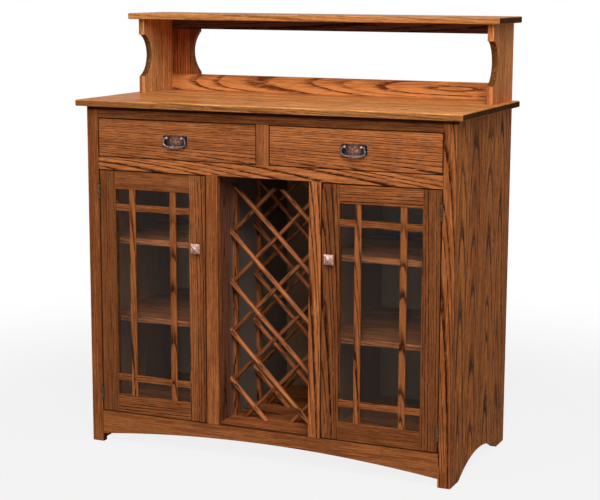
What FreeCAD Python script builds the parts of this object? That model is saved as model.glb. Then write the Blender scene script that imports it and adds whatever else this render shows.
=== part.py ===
import FreeCAD, Part
import math
import os

from FreeCAD import Vector

# Wine cabinet: two drawers over two glazed doors, an open bottle lattice between the doors
# and a low hutch on the top. Lengths are in millimetres, Z is up, X runs along the front and
# Y runs to the back. The origin is on the floor, at the middle of the overall footprint.

# Case: overall sizes and board thicknesses
CASE_WIDTH = 1168.0
CASE_DEPTH = 524.0
SIDE_THICKNESS = 19.0
FRAME_THICKNESS = 19.0
PANEL_THICKNESS = 19.0
BACK_THICKNESS = 6.0
BACK_RABBET = 9.5
DADO_DEPTH = 6.0
SIDE_FOOT = 76.0
SIDE_ARCH_RISE = 48.0

# Face frame, from the floor up and from the middle out
BOTTOM_RAIL_TOP = 100.0
BOTTOM_ARCH_END = 25.0
BOTTOM_ARCH_RISE = 34.0
DOOR_OPENING_HEIGHT = 752.0
MIDDLE_RAIL_HEIGHT = 38.0
DRAWER_OPENING_HEIGHT = 117.5
TOP_RAIL_HEIGHT = 34.5
OUTER_STILE = 38.0
BAY_STILE = 38.0
BAY_OPENING = 292.0
CENTRE_STILE = 40.0

# Top
TOP_THICKNESS = 19.0
TOP_SIDE_OVERHANG = 24.0
TOP_FRONT_OVERHANG = 26.0
TOP_EDGE_RADIUS = 4.0

# Hutch
HUTCH_SETBACK = 320.0
HUTCH_THICKNESS = 19.0
HUTCH_CLEAR_HEIGHT = 232.0
HUTCH_SHELF_THICKNESS = 19.0
HUTCH_SIDE_OVERHANG = 24.0
HUTCH_FRONT_OVERHANG = 25.0
BACKSPLASH_HEIGHT = 51.0
APRON_HEIGHT = 34.0
NOTCH_BOTTOM = 52.0
NOTCH_HEIGHT = 131.0
NOTCH_DEPTH = 47.0
NOTCH_LEDGE = 8.0
BRACKET_WIDTH = 99.0
BRACKET_WAIST = 24.0
BRACKET_SHOULDER = 8.0

# Doors
DOOR_THICKNESS = 19.0
DOOR_GAP = 2.4
DOOR_MEMBER = 54.0
GLASS_THICKNESS = 3.0
GLASS_PLAY = 0.1
GLASS_SETBACK = 8.0
GROOVE_DEPTH = 8.0
BAR_WIDTH = 20.0
BAR_SETBACK = 2.0
MARGIN_PANE = 46.0

# Butt hinges with turned tips on their pins
HINGE_INSET = 62.0
HINGE_STACK = 46.0
HINGE_KNUCKLES = 3
KNUCKLE_RADIUS = 3.5
KNUCKLE_PLAY = 0.3
PIN_RADIUS = 1.5
RUNNING_CLEARANCE = 0.05
LEAF_THICKNESS = 1.0
LEAF_DEPTH = 14.0
TIP_RADIUS = 3.0
TIP_CROWN_RADIUS = 1.4
TIP_RIM = 2.2
TIP_CROWN = 3.4

# Square door knobs
KNOB_HEIGHT = 533.0
KNOB_SIZE = 29.0
KNOB_RIM = 3.0
KNOB_CREST = 8.0
KNOB_CREST_RADIUS = 1.0
KNOB_NECK = 11.0
KNOB_NECK_RADIUS = 5.5
KNOB_FLARE_RADIUS = 8.5

# Magnetic catches above the knob side of each door
CATCH_WIDTH = 45.0
CATCH_DEPTH = 13.0
CATCH_DROP = 14.0
CATCH_GAP = 0.3
CATCH_INSET = 20.0

# Drawers and the strips they run on
DRAWER_GAP = 2.0
DRAWER_FRONT_THICKNESS = 19.0
DRAWER_SIDE_THICKNESS = 12.0
DRAWER_DEPTH = 455.0
DRAWER_BOTTOM_THICKNESS = 6.0
DRAWER_BOTTOM_LIFT = 10.0
DRAWER_GROOVE_DEPTH = 5.0
DRAWER_SIDE_PLAY = 1.5
DRAWER_RUN_PLAY = 0.3
DRAWER_KICK_PLAY = 3.0
GUIDE_HEIGHT = 22.0
KICKER_LAP = 15.0

# Bail pulls
PULL_WIDTH = 84.0
PULL_HEIGHT = 36.0
PULL_BOW = 3.0
PULL_THICKNESS = 2.0
EAR_SPACING = 50.0
EAR_RISE = 8.0
EAR_WIDTH = 6.0
EAR_RADIUS = 4.2
EAR_REACH = 5.5
BAIL_RADIUS = 3.0
BAIL_SIDES = 8
BAIL_PIN_RADIUS = 2.0
BAIL_SIDE = 7.5
BAIL_SPLAY = 15.0
BAIL_DROP = 28.0
BAIL_CORNER = 9.0
BAIL_GRIP_RADIUS = 90.0

# Shelves behind the doors
SHELF_THICKNESS = 18.0
SHELF_SETBACK = 60.0
SHELF_PLAY = 1.0
SHELF_HEIGHT_SHARES = (0.367, 0.69)
SHELF_PIN_RADIUS = 2.5
SHELF_PIN_LENGTH = 18.0
SHELF_PIN_SEAT = 9.0
SHELF_PIN_FIT = 0.05
SHELF_PIN_INSET = 50.0

# Bottle lattices in the open bay
LATTICE_PITCH = 152.5
LATTICE_DROP = 62.0
LATTICE_NODE_DROP = 48.0
LATTICE_BAR_WIDTH = 12.7
LATTICE_BAR_THICKNESS = 10.0
LATTICE_BAR_ROUND = 5.0
LATTICE_ROUND_FLATS = 4
LATTICE_SETBACKS = (100.0, 265.0)
BATTEN_SIZE = 14.0

# Reach of every cutting solid past the surface it cuts
OVERRUN = 5.0

# Flat sides that stand for a circle on the smallest turned pieces
SMALL_ROUND_SIDES = 16

# Places worked out from the sizes above
FRONT_Y = -(CASE_DEPTH + TOP_FRONT_OVERHANG) / 2
FACE_Y = FRONT_Y + TOP_FRONT_OVERHANG
BACK_Y = FACE_Y + CASE_DEPTH
FRAME_BACK_Y = FACE_Y + FRAME_THICKNESS
PANEL_BACK_Y = BACK_Y - BACK_THICKNESS
HALF_CASE = CASE_WIDTH / 2
HALF_INSIDE = HALF_CASE - SIDE_THICKNESS
HALF_OPENING = HALF_CASE - OUTER_STILE
HALF_BAY = BAY_OPENING / 2
DOOR_INNER_X = HALF_BAY + BAY_STILE
DIVIDER_INNER_X = HALF_BAY + (BAY_STILE - PANEL_THICKNESS) / 2
DIVIDER_OUTER_X = DIVIDER_INNER_X + PANEL_THICKNESS
DOOR_OPENING_TOP = BOTTOM_RAIL_TOP + DOOR_OPENING_HEIGHT
DRAWER_FLOOR = DOOR_OPENING_TOP + MIDDLE_RAIL_HEIGHT
DRAWER_OPENING_TOP = DRAWER_FLOOR + DRAWER_OPENING_HEIGHT
CASE_HEIGHT = DRAWER_OPENING_TOP + TOP_RAIL_HEIGHT
DECK_BOTTOM = DRAWER_FLOOR - PANEL_THICKNESS
LATTICE_TOP = DECK_BOTTOM - LATTICE_DROP
TOP_Z = CASE_HEIGHT + TOP_THICKNESS
HUTCH_FRONT_Y = FACE_Y + HUTCH_SETBACK
HUTCH_TOP = TOP_Z + HUTCH_CLEAR_HEIGHT
HINGE_X = HALF_OPENING - DOOR_GAP / 2
HINGE_Y = FACE_Y - KNUCKLE_RADIUS - KNUCKLE_PLAY
HINGE_LEVELS = (BOTTOM_RAIL_TOP + HINGE_INSET, DOOR_OPENING_TOP - HINGE_INSET)

LEFT = -1
RIGHT = 1


def box(x_low, x_high, y_low, y_high, z_low, z_high):
    """A block between two corners, with its X limits in either order."""
    x_start = min(x_low, x_high)
    corner = Vector(x_start, y_low, z_low)
    return Part.makeBox(abs(x_high - x_low), y_high - y_low, z_high - z_low, corner)


def outline(start, *moves):
    """A closed face. A move is (end,) along a line or (middle, end) along an arc."""
    edges = []
    here = start
    for move in moves:
        end = move[-1]
        if len(move) > 1:
            edges.append(Part.Arc(here, move[0], end).toShape())
        else:
            edges.append(Part.LineSegment(here, end).toShape())
        here = end
    edges.append(Part.LineSegment(here, start).toShape())
    return Part.Face(Part.Wire(edges))


def ring_corners(sides, radius, centre, axis):
    """The corners of a regular polygon about an axis along X, Y or Z, first one repeated."""
    across = Vector(axis.y, axis.z, axis.x)
    up = axis.cross(across)
    corners = []
    for index in range(sides):
        angle = 2 * math.pi * (index + 1 / 2) / sides
        corners.append(centre + across * (radius * math.cos(angle)) + up * (radius * math.sin(angle)))
    corners.append(corners[0])
    return corners


def faceted(sides, start, axis, stations):
    """A solid with flat faces, through polygons given as (height along the axis, radius)."""
    rings = [ring_corners(sides, radius, start + axis * height, axis) for height, radius in stations]
    faces = [Part.Face(Part.makePolygon(ends)) for ends in (rings[0], rings[-1])]
    for lower, upper in zip(rings, rings[1:]):
        for index in range(sides):
            near, far = lower[index], lower[index + 1]
            faces.append(Part.Face(Part.makePolygon([near, far, upper[index + 1], upper[index], near])))
    solid = Part.makeSolid(Part.makeShell(faces))
    if solid.Volume < 0:
        solid.reverse()
    return solid


def small_rod(radius, start, direction, length):
    """A round rod drawn with a few flat sides, for the small turned pieces."""
    return faceted(SMALL_ROUND_SIDES, start, direction, ((0, radius), (length, radius)))


def small_bore(radius, start, direction, length):
    """A round hole drawn with a few flat sides, none nearer to the axis than its radius."""
    corner_radius = radius / math.cos(math.pi / SMALL_ROUND_SIDES)
    return small_rod(corner_radius, start, direction, length)


def write(name, *solids):
    """One STEP file for a node that holds one solid, or a set of separate ones."""
    shape = solids[0] if len(solids) == 1 else Part.makeCompound(list(solids))
    shape.exportStep(os.path.join("parts", name + ".step"))


def side_name(side):
    return "left" if side == LEFT else "right"


def ease_long_edges(solid, radius, touches_back):
    """Round the top and bottom edges of a board, all but those along its back."""
    picked = []
    for edge in solid.Edges:
        bounds = edge.BoundBox
        upright = bounds.ZLength > bounds.XLength + bounds.YLength
        at_back = touches_back(bounds)
        if not upright and not at_back:
            picked.append(edge)
    return solid.makeFillet(radius, picked)


def eased_board(half_width, y_low, y_high, z_low, thickness):
    """A top board with rounded front and side edges and a plain back edge."""
    board = box(-half_width, half_width, y_low, y_high, z_low, z_low + thickness)
    middle_y = (y_low + y_high) / 2
    return ease_long_edges(board, TOP_EDGE_RADIUS, lambda bounds: bounds.YMin > middle_y)


def tabletop():
    half_width = HALF_CASE + TOP_SIDE_OVERHANG
    return eased_board(half_width, FRONT_Y, BACK_Y, CASE_HEIGHT, TOP_THICKNESS)


def shelf_level(share):
    """Where a shelf's underside lies, by its share of the door opening's height."""
    return BOTTOM_RAIL_TOP + share * DOOR_OPENING_HEIGHT


def pin_places(side_x, inward):
    """Where the shelf pins enter a wall whose inner face is at side_x."""
    front_y = FACE_Y + SHELF_SETBACK + SHELF_PIN_INSET
    back_y = PANEL_BACK_Y - SHELF_PIN_INSET
    places = []
    for share in SHELF_HEIGHT_SHARES:
        for place_y in (front_y, back_y):
            pin_z = shelf_level(share) - SHELF_PIN_RADIUS
            seat_x = side_x - inward * SHELF_PIN_SEAT
            places.append(Vector(seat_x, place_y, pin_z))
    return places


def drill_pin_holes(panel, side_x, inward):
    """Blind holes for the shelf pins, opening on the face at side_x."""
    direction = Vector(inward, 0, 0)
    for place in pin_places(side_x, inward):
        hole = small_bore(SHELF_PIN_RADIUS + SHELF_PIN_FIT, place, direction, SHELF_PIN_SEAT + OVERRUN)
        panel = panel.cut(hole)
    return panel


def side_panel(side):
    """End panel with an arched foot, dados for the floor and deck, and a rabbet for the back."""
    outer_x = side * HALF_CASE
    inner_x = side * HALF_INSIDE
    arch_front = FACE_Y + SIDE_FOOT
    arch_back = BACK_Y - SIDE_FOOT
    profile = outline(
        Vector(outer_x, FRAME_BACK_Y, 0),
        (Vector(outer_x, arch_front, 0),),
        (Vector(outer_x, (arch_front + arch_back) / 2, SIDE_ARCH_RISE), Vector(outer_x, arch_back, 0)),
        (Vector(outer_x, BACK_Y, 0),),
        (Vector(outer_x, BACK_Y, CASE_HEIGHT),),
        (Vector(outer_x, FRAME_BACK_Y, CASE_HEIGHT),),
    )
    panel = profile.extrude(Vector(inner_x - outer_x, 0, 0))
    dado_x = inner_x + side * DADO_DEPTH
    open_x = inner_x - side * OVERRUN
    front_y = FRAME_BACK_Y - OVERRUN
    back_y = BACK_Y + OVERRUN
    for shelf_top in (BOTTOM_RAIL_TOP, DRAWER_FLOOR):
        shelf_bottom = shelf_top - PANEL_THICKNESS
        panel = panel.cut(box(dado_x, open_x, front_y, PANEL_BACK_Y, shelf_bottom, shelf_top))
    rabbet_x = inner_x + side * BACK_RABBET
    rabbet_bottom = BOTTOM_RAIL_TOP - PANEL_THICKNESS
    rabbet = box(rabbet_x, open_x, PANEL_BACK_Y, back_y, rabbet_bottom, CASE_HEIGHT + OVERRUN)
    panel = panel.cut(rabbet)
    return drill_pin_holes(panel, inner_x, -side)


def frame_stile(side):
    outer_x = side * HALF_CASE
    inner_x = side * HALF_OPENING
    return box(outer_x, inner_x, FACE_Y, FRAME_BACK_Y, 0, CASE_HEIGHT)


def frame_rail(z_low, z_high):
    return box(-HALF_OPENING, HALF_OPENING, FACE_Y, FRAME_BACK_Y, z_low, z_high)


def bottom_frame_rail():
    """Rail whose lower edge rises in one shallow arch from foot to foot."""
    profile = outline(
        Vector(-HALF_OPENING, FACE_Y, BOTTOM_ARCH_END),
        (
            Vector(0, FACE_Y, BOTTOM_ARCH_END + BOTTOM_ARCH_RISE),
            Vector(HALF_OPENING, FACE_Y, BOTTOM_ARCH_END),
        ),
        (Vector(HALF_OPENING, FACE_Y, BOTTOM_RAIL_TOP),),
        (Vector(-HALF_OPENING, FACE_Y, BOTTOM_RAIL_TOP),),
    )
    return profile.extrude(Vector(0, FRAME_THICKNESS, 0))


def bay_stile(side):
    inner_x = side * HALF_BAY
    outer_x = side * DOOR_INNER_X
    return box(inner_x, outer_x, FACE_Y, FRAME_BACK_Y, BOTTOM_RAIL_TOP, DOOR_OPENING_TOP)


def drawer_centre_stile():
    half = CENTRE_STILE / 2
    return box(-half, half, FACE_Y, FRAME_BACK_Y, DRAWER_FLOOR, DRAWER_OPENING_TOP)


def deep_panel(top):
    """A full-width panel that sits in the dados of both end panels."""
    half = HALF_INSIDE + DADO_DEPTH
    return box(-half, half, FRAME_BACK_Y, PANEL_BACK_Y, top - PANEL_THICKNESS, top)


def divider(side):
    """Upright panel behind a bay stile, drilled for shelf pins on its door side."""
    inner_x = side * DIVIDER_INNER_X
    outer_x = side * DIVIDER_OUTER_X
    panel = box(inner_x, outer_x, FRAME_BACK_Y, PANEL_BACK_Y, BOTTOM_RAIL_TOP, DECK_BOTTOM)
    return drill_pin_holes(panel, outer_x, side)


def back_panel():
    half = HALF_INSIDE + BACK_RABBET
    bottom = BOTTOM_RAIL_TOP - PANEL_THICKNESS
    return box(-half, half, PANEL_BACK_Y, BACK_Y, bottom, CASE_HEIGHT)


def drawer_strips(z_low, z_high, lap):
    """Outer and centre strips beside the drawer openings, reaching lap over them."""
    inner_x = HALF_OPENING - lap
    half_centre = CENTRE_STILE / 2 + lap
    strips = [box(-half_centre, half_centre, FRAME_BACK_Y, PANEL_BACK_Y, z_low, z_high)]
    for side in (LEFT, RIGHT):
        outer = side * HALF_INSIDE
        strips.append(box(outer, side * inner_x, FRAME_BACK_Y, PANEL_BACK_Y, z_low, z_high))
    return strips


def shelves(side):
    """The two loose shelves behind one door, resting on their pins."""
    inner_x = side * (DIVIDER_OUTER_X + SHELF_PLAY)
    outer_x = side * (HALF_INSIDE - SHELF_PLAY)
    front_y = FACE_Y + SHELF_SETBACK
    back_y = PANEL_BACK_Y - SHELF_PLAY
    boards = []
    for share in SHELF_HEIGHT_SHARES:
        bottom = shelf_level(share)
        boards.append(box(inner_x, outer_x, front_y, back_y, bottom, bottom + SHELF_THICKNESS))
    return boards


def shelf_pins():
    pins = []
    for side in (LEFT, RIGHT):
        for wall_x, inward in ((side * HALF_INSIDE, -side), (side * DIVIDER_OUTER_X, side)):
            for place in pin_places(wall_x, inward):
                pins.append(small_rod(SHELF_PIN_RADIUS, place, Vector(inward, 0, 0), SHELF_PIN_LENGTH))
    return pins


def lattice_bar(level, lean, front_y):
    """One slanting bar with rounded front edges, cut off at the dividers, floor and top line.

    Its centre line is lean * x + z = level, so lean 1 falls to the right and lean -1 rises.
    """
    half = LATTICE_BAR_WIDTH / 2
    back_y = front_y + LATTICE_BAR_THICKNESS
    across = Vector(lean, 0, 1).normalize()
    along = Vector(1, 0, -lean).normalize()
    reach = DIVIDER_INNER_X + LATTICE_BAR_WIDTH
    start = Vector(-reach, 0, level + lean * reach)
    corners = []
    for hand in (-1, 1):
        edge = [start + across * (hand * half) + Vector(0, back_y, 0)]
        for step in range(LATTICE_ROUND_FLATS + 1):
            angle = math.pi * step / (2 * LATTICE_ROUND_FLATS)
            offset = half - LATTICE_BAR_ROUND * (1 - math.cos(angle))
            y = front_y + LATTICE_BAR_ROUND * (1 - math.sin(angle))
            edge.append(start + across * (hand * offset) + Vector(0, y, 0))
        corners.extend(edge if hand < 0 else reversed(edge))
    corners.append(corners[0])
    section = Part.Face(Part.makePolygon(corners))
    bar = section.extrude(along * (2 * math.sqrt(2) * reach))
    window = box(-DIVIDER_INNER_X, DIVIDER_INNER_X, front_y, back_y, BOTTOM_RAIL_TOP, LATTICE_TOP)
    return bar.common(window).Solids[0]


def lattice(setback):
    """Falling bars in front, rising bars behind them, each set one pitch apart."""
    bars = []
    front_y = FACE_Y + setback
    top_node = DECK_BOTTOM - LATTICE_NODE_DROP
    for lean, layer_y in ((1, front_y), (-1, front_y + LATTICE_BAR_THICKNESS)):
        level = top_node
        while level + DIVIDER_INNER_X > BOTTOM_RAIL_TOP + LATTICE_BAR_WIDTH:
            bars.append(lattice_bar(level, lean, layer_y))
            level -= LATTICE_PITCH
    return bars


def lattice_battens():
    """Square uprights on the dividers that the lattice bars are fixed to."""
    battens = []
    for setback in LATTICE_SETBACKS:
        front_y = FACE_Y + setback + 2 * LATTICE_BAR_THICKNESS
        back_y = front_y + BATTEN_SIZE
        for side in (LEFT, RIGHT):
            wall_x = side * DIVIDER_INNER_X
            open_x = wall_x - side * BATTEN_SIZE
            battens.append(box(wall_x, open_x, front_y, back_y, BOTTOM_RAIL_TOP, LATTICE_TOP))
    return battens


def hutch_support(side):
    """End board of the hutch, with a ledge and a scooped notch in its front edge."""
    outer_x = side * HALF_CASE
    front_y = HUTCH_FRONT_Y
    notch_low = TOP_Z + NOTCH_BOTTOM
    notch_high = notch_low + NOTCH_HEIGHT
    deepest = Vector(outer_x, front_y + NOTCH_DEPTH, notch_low + NOTCH_HEIGHT / 2)
    profile = outline(
        Vector(outer_x, front_y, TOP_Z),
        (Vector(outer_x, front_y, notch_low),),
        (deepest, Vector(outer_x, front_y + NOTCH_LEDGE, notch_high)),
        (Vector(outer_x, front_y, notch_high),),
        (Vector(outer_x, front_y, HUTCH_TOP),),
        (Vector(outer_x, BACK_Y, HUTCH_TOP),),
        (Vector(outer_x, BACK_Y, TOP_Z),),
    )
    return profile.extrude(Vector(-side * HUTCH_THICKNESS, 0, 0))


def hutch_shelf():
    half_width = HALF_CASE + HUTCH_SIDE_OVERHANG
    front_y = HUTCH_FRONT_Y - HUTCH_FRONT_OVERHANG
    return eased_board(half_width, front_y, BACK_Y, HUTCH_TOP, HUTCH_SHELF_THICKNESS)


def hutch_back_rail(z_low, z_high):
    """A rail between the hutch supports, flush with their back edges."""
    half = HALF_CASE - HUTCH_THICKNESS
    return box(-half, half, BACK_Y - HUTCH_THICKNESS, BACK_Y, z_low, z_high)


def hutch_corner_bracket():
    """Waisted filler board in the left back corner, between the two back rails."""
    front_y = BACK_Y - HUTCH_THICKNESS
    wall_x = -HALF_CASE + HUTCH_THICKNESS
    edge_x = wall_x + BRACKET_WIDTH
    low = TOP_Z + BACKSPLASH_HEIGHT
    high = HUTCH_TOP - APRON_HEIGHT
    curve_low = low + BRACKET_SHOULDER
    curve_high = high - BRACKET_SHOULDER
    waist = Vector(edge_x - BRACKET_WAIST, front_y, (curve_low + curve_high) / 2)
    profile = outline(
        Vector(wall_x, front_y, low),
        (Vector(edge_x, front_y, low),),
        (Vector(edge_x, front_y, curve_low),),
        (waist, Vector(edge_x, front_y, curve_high)),
        (Vector(edge_x, front_y, high),),
        (Vector(wall_x, front_y, high),),
    )
    return profile.extrude(Vector(0, HUTCH_THICKNESS, 0))


# The door openings, and the outline of the glass that shows in each door
DOOR_LOW = BOTTOM_RAIL_TOP + DOOR_GAP
DOOR_HIGH = DOOR_OPENING_TOP - DOOR_GAP
DOOR_NEAR_X = DOOR_INNER_X + DOOR_GAP
DOOR_FAR_X = HALF_OPENING - DOOR_GAP
SIGHT_NEAR_X = DOOR_NEAR_X + DOOR_MEMBER
SIGHT_FAR_X = DOOR_FAR_X - DOOR_MEMBER
SIGHT_LOW = DOOR_LOW + DOOR_MEMBER
SIGHT_HIGH = DOOR_HIGH - DOOR_MEMBER
DOOR_BACK_Y = FACE_Y + DOOR_THICKNESS
GLASS_FRONT_Y = FACE_Y + GLASS_SETBACK
GROOVE_FRONT_Y = GLASS_FRONT_Y - GLASS_PLAY
GROOVE_BACK_Y = GLASS_FRONT_Y + GLASS_THICKNESS + GLASS_PLAY


def glass_groove(side):
    """The groove that runs round the inside of a door frame and holds the glass."""
    near_x = side * (SIGHT_NEAR_X - GROOVE_DEPTH)
    far_x = side * (SIGHT_FAR_X + GROOVE_DEPTH)
    low = SIGHT_LOW - GROOVE_DEPTH
    high = SIGHT_HIGH + GROOVE_DEPTH
    return box(near_x, far_x, GROOVE_FRONT_Y, GROOVE_BACK_Y, low, high)


def door_stile(side, edge_x, sight_x):
    """Full-height door stile, grooved from end to end for the glass and the rail tongues."""
    stile = box(side * edge_x, side * sight_x, FACE_Y, DOOR_BACK_Y, DOOR_LOW, DOOR_HIGH)
    inward = math.copysign(1, edge_x - sight_x)
    groove_x = sight_x + inward * GROOVE_DEPTH
    open_x = sight_x - inward * OVERRUN
    low = DOOR_LOW - OVERRUN
    high = DOOR_HIGH + OVERRUN
    groove = box(side * groove_x, side * open_x, GROOVE_FRONT_Y, GROOVE_BACK_Y, low, high)
    return stile.cut(groove)


def door_rail(side, z_low, z_high):
    """Door rail with a tongue at each end that fills the groove of the stile."""
    near_x = side * SIGHT_NEAR_X
    far_x = side * SIGHT_FAR_X
    rail = box(near_x, far_x, FACE_Y, DOOR_BACK_Y, z_low, z_high)
    tongue_near = side * (SIGHT_NEAR_X - GROOVE_DEPTH)
    tongue_far = side * (SIGHT_FAR_X + GROOVE_DEPTH)
    tongue = box(tongue_near, tongue_far, GROOVE_FRONT_Y, GROOVE_BACK_Y, z_low, z_high)
    return rail.fuse(tongue).cut(glass_groove(side)).removeSplitter()


def door_glass(side):
    near_x = side * (SIGHT_NEAR_X - GROOVE_DEPTH + GLASS_PLAY)
    far_x = side * (SIGHT_FAR_X + GROOVE_DEPTH - GLASS_PLAY)
    low = SIGHT_LOW - GROOVE_DEPTH + GLASS_PLAY
    high = SIGHT_HIGH + GROOVE_DEPTH - GLASS_PLAY
    back_y = GLASS_FRONT_Y + GLASS_THICKNESS
    return box(near_x, far_x, GLASS_FRONT_Y, back_y, low, high)


def glazing_bars(side):
    """Two upright and two cross bars in front of the glass, half lapped where they meet."""
    front_y = FACE_Y + BAR_SETBACK
    lap_y = (front_y + GLASS_FRONT_Y) / 2
    columns = []
    for start in (SIGHT_NEAR_X + MARGIN_PANE, SIGHT_FAR_X - MARGIN_PANE - BAR_WIDTH):
        columns.append((side * start, side * (start + BAR_WIDTH)))
    rows = []
    for start in (SIGHT_LOW + MARGIN_PANE, SIGHT_HIGH - MARGIN_PANE - BAR_WIDTH):
        rows.append((start, start + BAR_WIDTH))
    bars = []
    for x_start, x_end in columns:
        bar = box(x_start, x_end, front_y, GLASS_FRONT_Y, SIGHT_LOW, SIGHT_HIGH)
        for z_low, z_high in rows:
            bar = bar.cut(box(x_start, x_end, lap_y, GLASS_FRONT_Y + OVERRUN, z_low, z_high))
        bars.append(bar)
    for z_low, z_high in rows:
        near_x = side * SIGHT_NEAR_X
        far_x = side * SIGHT_FAR_X
        bar = box(near_x, far_x, front_y, GLASS_FRONT_Y, z_low, z_high)
        for x_start, x_end in columns:
            bar = bar.cut(box(x_start, x_end, front_y - OVERRUN, lap_y, z_low, z_high))
        bars.append(bar)
    return bars


def door_knob(side):
    """Square knob: a low pyramid on a square rim, carried by a waisted round neck."""
    centre_x = side * (DOOR_NEAR_X + SIGHT_NEAR_X) / 2
    seat = Vector(centre_x, FACE_Y, BOTTOM_RAIL_TOP + KNOB_HEIGHT)
    outward = Vector(0, -1, 0)
    corner = KNOB_SIZE / math.sqrt(2)
    rim = KNOB_NECK + KNOB_RIM
    head = faceted(4, seat, outward, (
        (KNOB_NECK, corner),
        (rim, corner),
        (rim + KNOB_CREST, KNOB_CREST_RADIUS),
    ))
    neck = faceted(SMALL_ROUND_SIDES, seat, outward, (
        (0, KNOB_FLARE_RADIUS),
        (KNOB_NECK / 2, KNOB_NECK_RADIUS),
        (KNOB_NECK, KNOB_FLARE_RADIUS),
    ))
    return head.fuse(neck).removeSplitter()


def knuckle_spans(low):
    """The height span of each knuckle in a hinge, with a little play between them."""
    step = HINGE_STACK / HINGE_KNUCKLES
    spans = []
    for index in range(HINGE_KNUCKLES):
        bottom = low + index * step + KNUCKLE_PLAY / 2
        spans.append((bottom, bottom + step - KNUCKLE_PLAY))
    return spans


def hinge_leaf(side, centre_z, on_frame):
    """One leaf: a plate in the gap beside the door, and every other knuckle of the barrel."""
    low = centre_z - HINGE_STACK / 2
    toward = side if on_frame else -side
    seat_x = side * HINGE_X + toward * DOOR_GAP / 2
    inner_x = seat_x - toward * LEAF_THICKNESS
    leaf = box(seat_x, inner_x, FACE_Y, FACE_Y + LEAF_DEPTH, low, low + HINGE_STACK)
    first = 0 if on_frame else 1
    axis = Vector(0, 0, 1)
    for bottom, top in knuckle_spans(low)[first::2]:
        centre = Vector(side * HINGE_X, HINGE_Y, bottom)
        barrel = small_rod(KNUCKLE_RADIUS, centre, axis, top - bottom)
        web = box(seat_x, inner_x, HINGE_Y, FACE_Y + LEAF_DEPTH, bottom, top)
        leaf = leaf.fuse(barrel).fuse(web)
    start = Vector(side * HINGE_X, HINGE_Y, low - OVERRUN)
    bore = small_bore(PIN_RADIUS + RUNNING_CLEARANCE, start, axis, HINGE_STACK + 2 * OVERRUN)
    return leaf.cut(bore).removeSplitter()


def hinge_tip(centre, axis):
    """A turned tip that stands on the end of a hinge pin: a short rim and a tapered crown."""
    return faceted(SMALL_ROUND_SIDES, centre, axis, (
        (0, TIP_CROWN_RADIUS),
        (TIP_RIM / 2, TIP_RADIUS),
        (TIP_RIM, TIP_RADIUS),
        (TIP_CROWN, TIP_CROWN_RADIUS),
    ))


def hinge_pin(side, centre_z):
    """Hinge pin with a turned tip at each end, clear of the end knuckles."""
    low = centre_z - HINGE_STACK / 2
    high = low + HINGE_STACK
    start = Vector(side * HINGE_X, HINGE_Y, low)
    pin = small_rod(PIN_RADIUS, start, Vector(0, 0, 1), HINGE_STACK)
    bottom_tip = hinge_tip(start, Vector(0, 0, -1))
    top_tip = hinge_tip(Vector(side * HINGE_X, HINGE_Y, high), Vector(0, 0, 1))
    return pin.fuse(bottom_tip).fuse(top_tip)


def door_hinge_leaves(side):
    pieces = []
    for level in HINGE_LEVELS:
        pieces.append(hinge_leaf(side, level, False))
        pieces.append(hinge_pin(side, level))
    return pieces


def hinge_frame_leaves():
    leaves = []
    for side in (LEFT, RIGHT):
        for level in HINGE_LEVELS:
            leaves.append(hinge_leaf(side, level, True))
    return leaves


def door_catch(side):
    """Magnetic catch under the deck, just behind the free corner of the door."""
    near_x = side * (DOOR_NEAR_X + CATCH_INSET)
    far_x = near_x + side * CATCH_WIDTH
    front_y = DOOR_BACK_Y + CATCH_GAP
    back_y = front_y + CATCH_DEPTH
    return box(near_x, far_x, front_y, back_y, DOOR_HIGH - CATCH_DROP, DECK_BOTTOM)


# The drawer fronts and boxes, on the right hand side of the centre stile
FRONT_NEAR_X = CENTRE_STILE / 2 + DRAWER_GAP
FRONT_FAR_X = HALF_OPENING - DRAWER_GAP
FRONT_LOW = DRAWER_FLOOR + DRAWER_GAP
FRONT_HIGH = DRAWER_OPENING_TOP - DRAWER_GAP
BOX_NEAR_X = CENTRE_STILE / 2 + DRAWER_SIDE_PLAY
BOX_FAR_X = HALF_OPENING - DRAWER_SIDE_PLAY
BOX_LOW = DRAWER_FLOOR + DRAWER_RUN_PLAY
BOX_HIGH = DRAWER_OPENING_TOP - DRAWER_KICK_PLAY
BOX_FRONT_Y = FACE_Y + DRAWER_FRONT_THICKNESS
BOX_BACK_Y = FACE_Y + DRAWER_DEPTH
BOTTOM_LOW = BOX_LOW + DRAWER_BOTTOM_LIFT
BOTTOM_HIGH = BOTTOM_LOW + DRAWER_BOTTOM_THICKNESS


def drawer_bottom(side):
    """Thin panel held in the grooves of the sides and front, passing under the back."""
    reach = DRAWER_SIDE_THICKNESS - DRAWER_GROOVE_DEPTH
    near_x = side * (BOX_NEAR_X + reach)
    far_x = side * (BOX_FAR_X - reach)
    front_y = BOX_FRONT_Y - DRAWER_GROOVE_DEPTH
    return box(near_x, far_x, front_y, BOX_BACK_Y, BOTTOM_LOW, BOTTOM_HIGH)


def drawer_front(side):
    near_x = side * FRONT_NEAR_X
    far_x = side * FRONT_FAR_X
    front = box(near_x, far_x, FACE_Y, BOX_FRONT_Y, FRONT_LOW, FRONT_HIGH)
    return front.cut(drawer_bottom(side))


def drawer_sides(side):
    boards = []
    bottom = drawer_bottom(side)
    for outer_x, turn in ((BOX_NEAR_X, 1), (BOX_FAR_X, -1)):
        inner_x = outer_x + turn * DRAWER_SIDE_THICKNESS
        board = box(side * outer_x, side * inner_x, BOX_FRONT_Y, BOX_BACK_Y, BOX_LOW, BOX_HIGH)
        boards.append(board.cut(bottom))
    return boards


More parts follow.
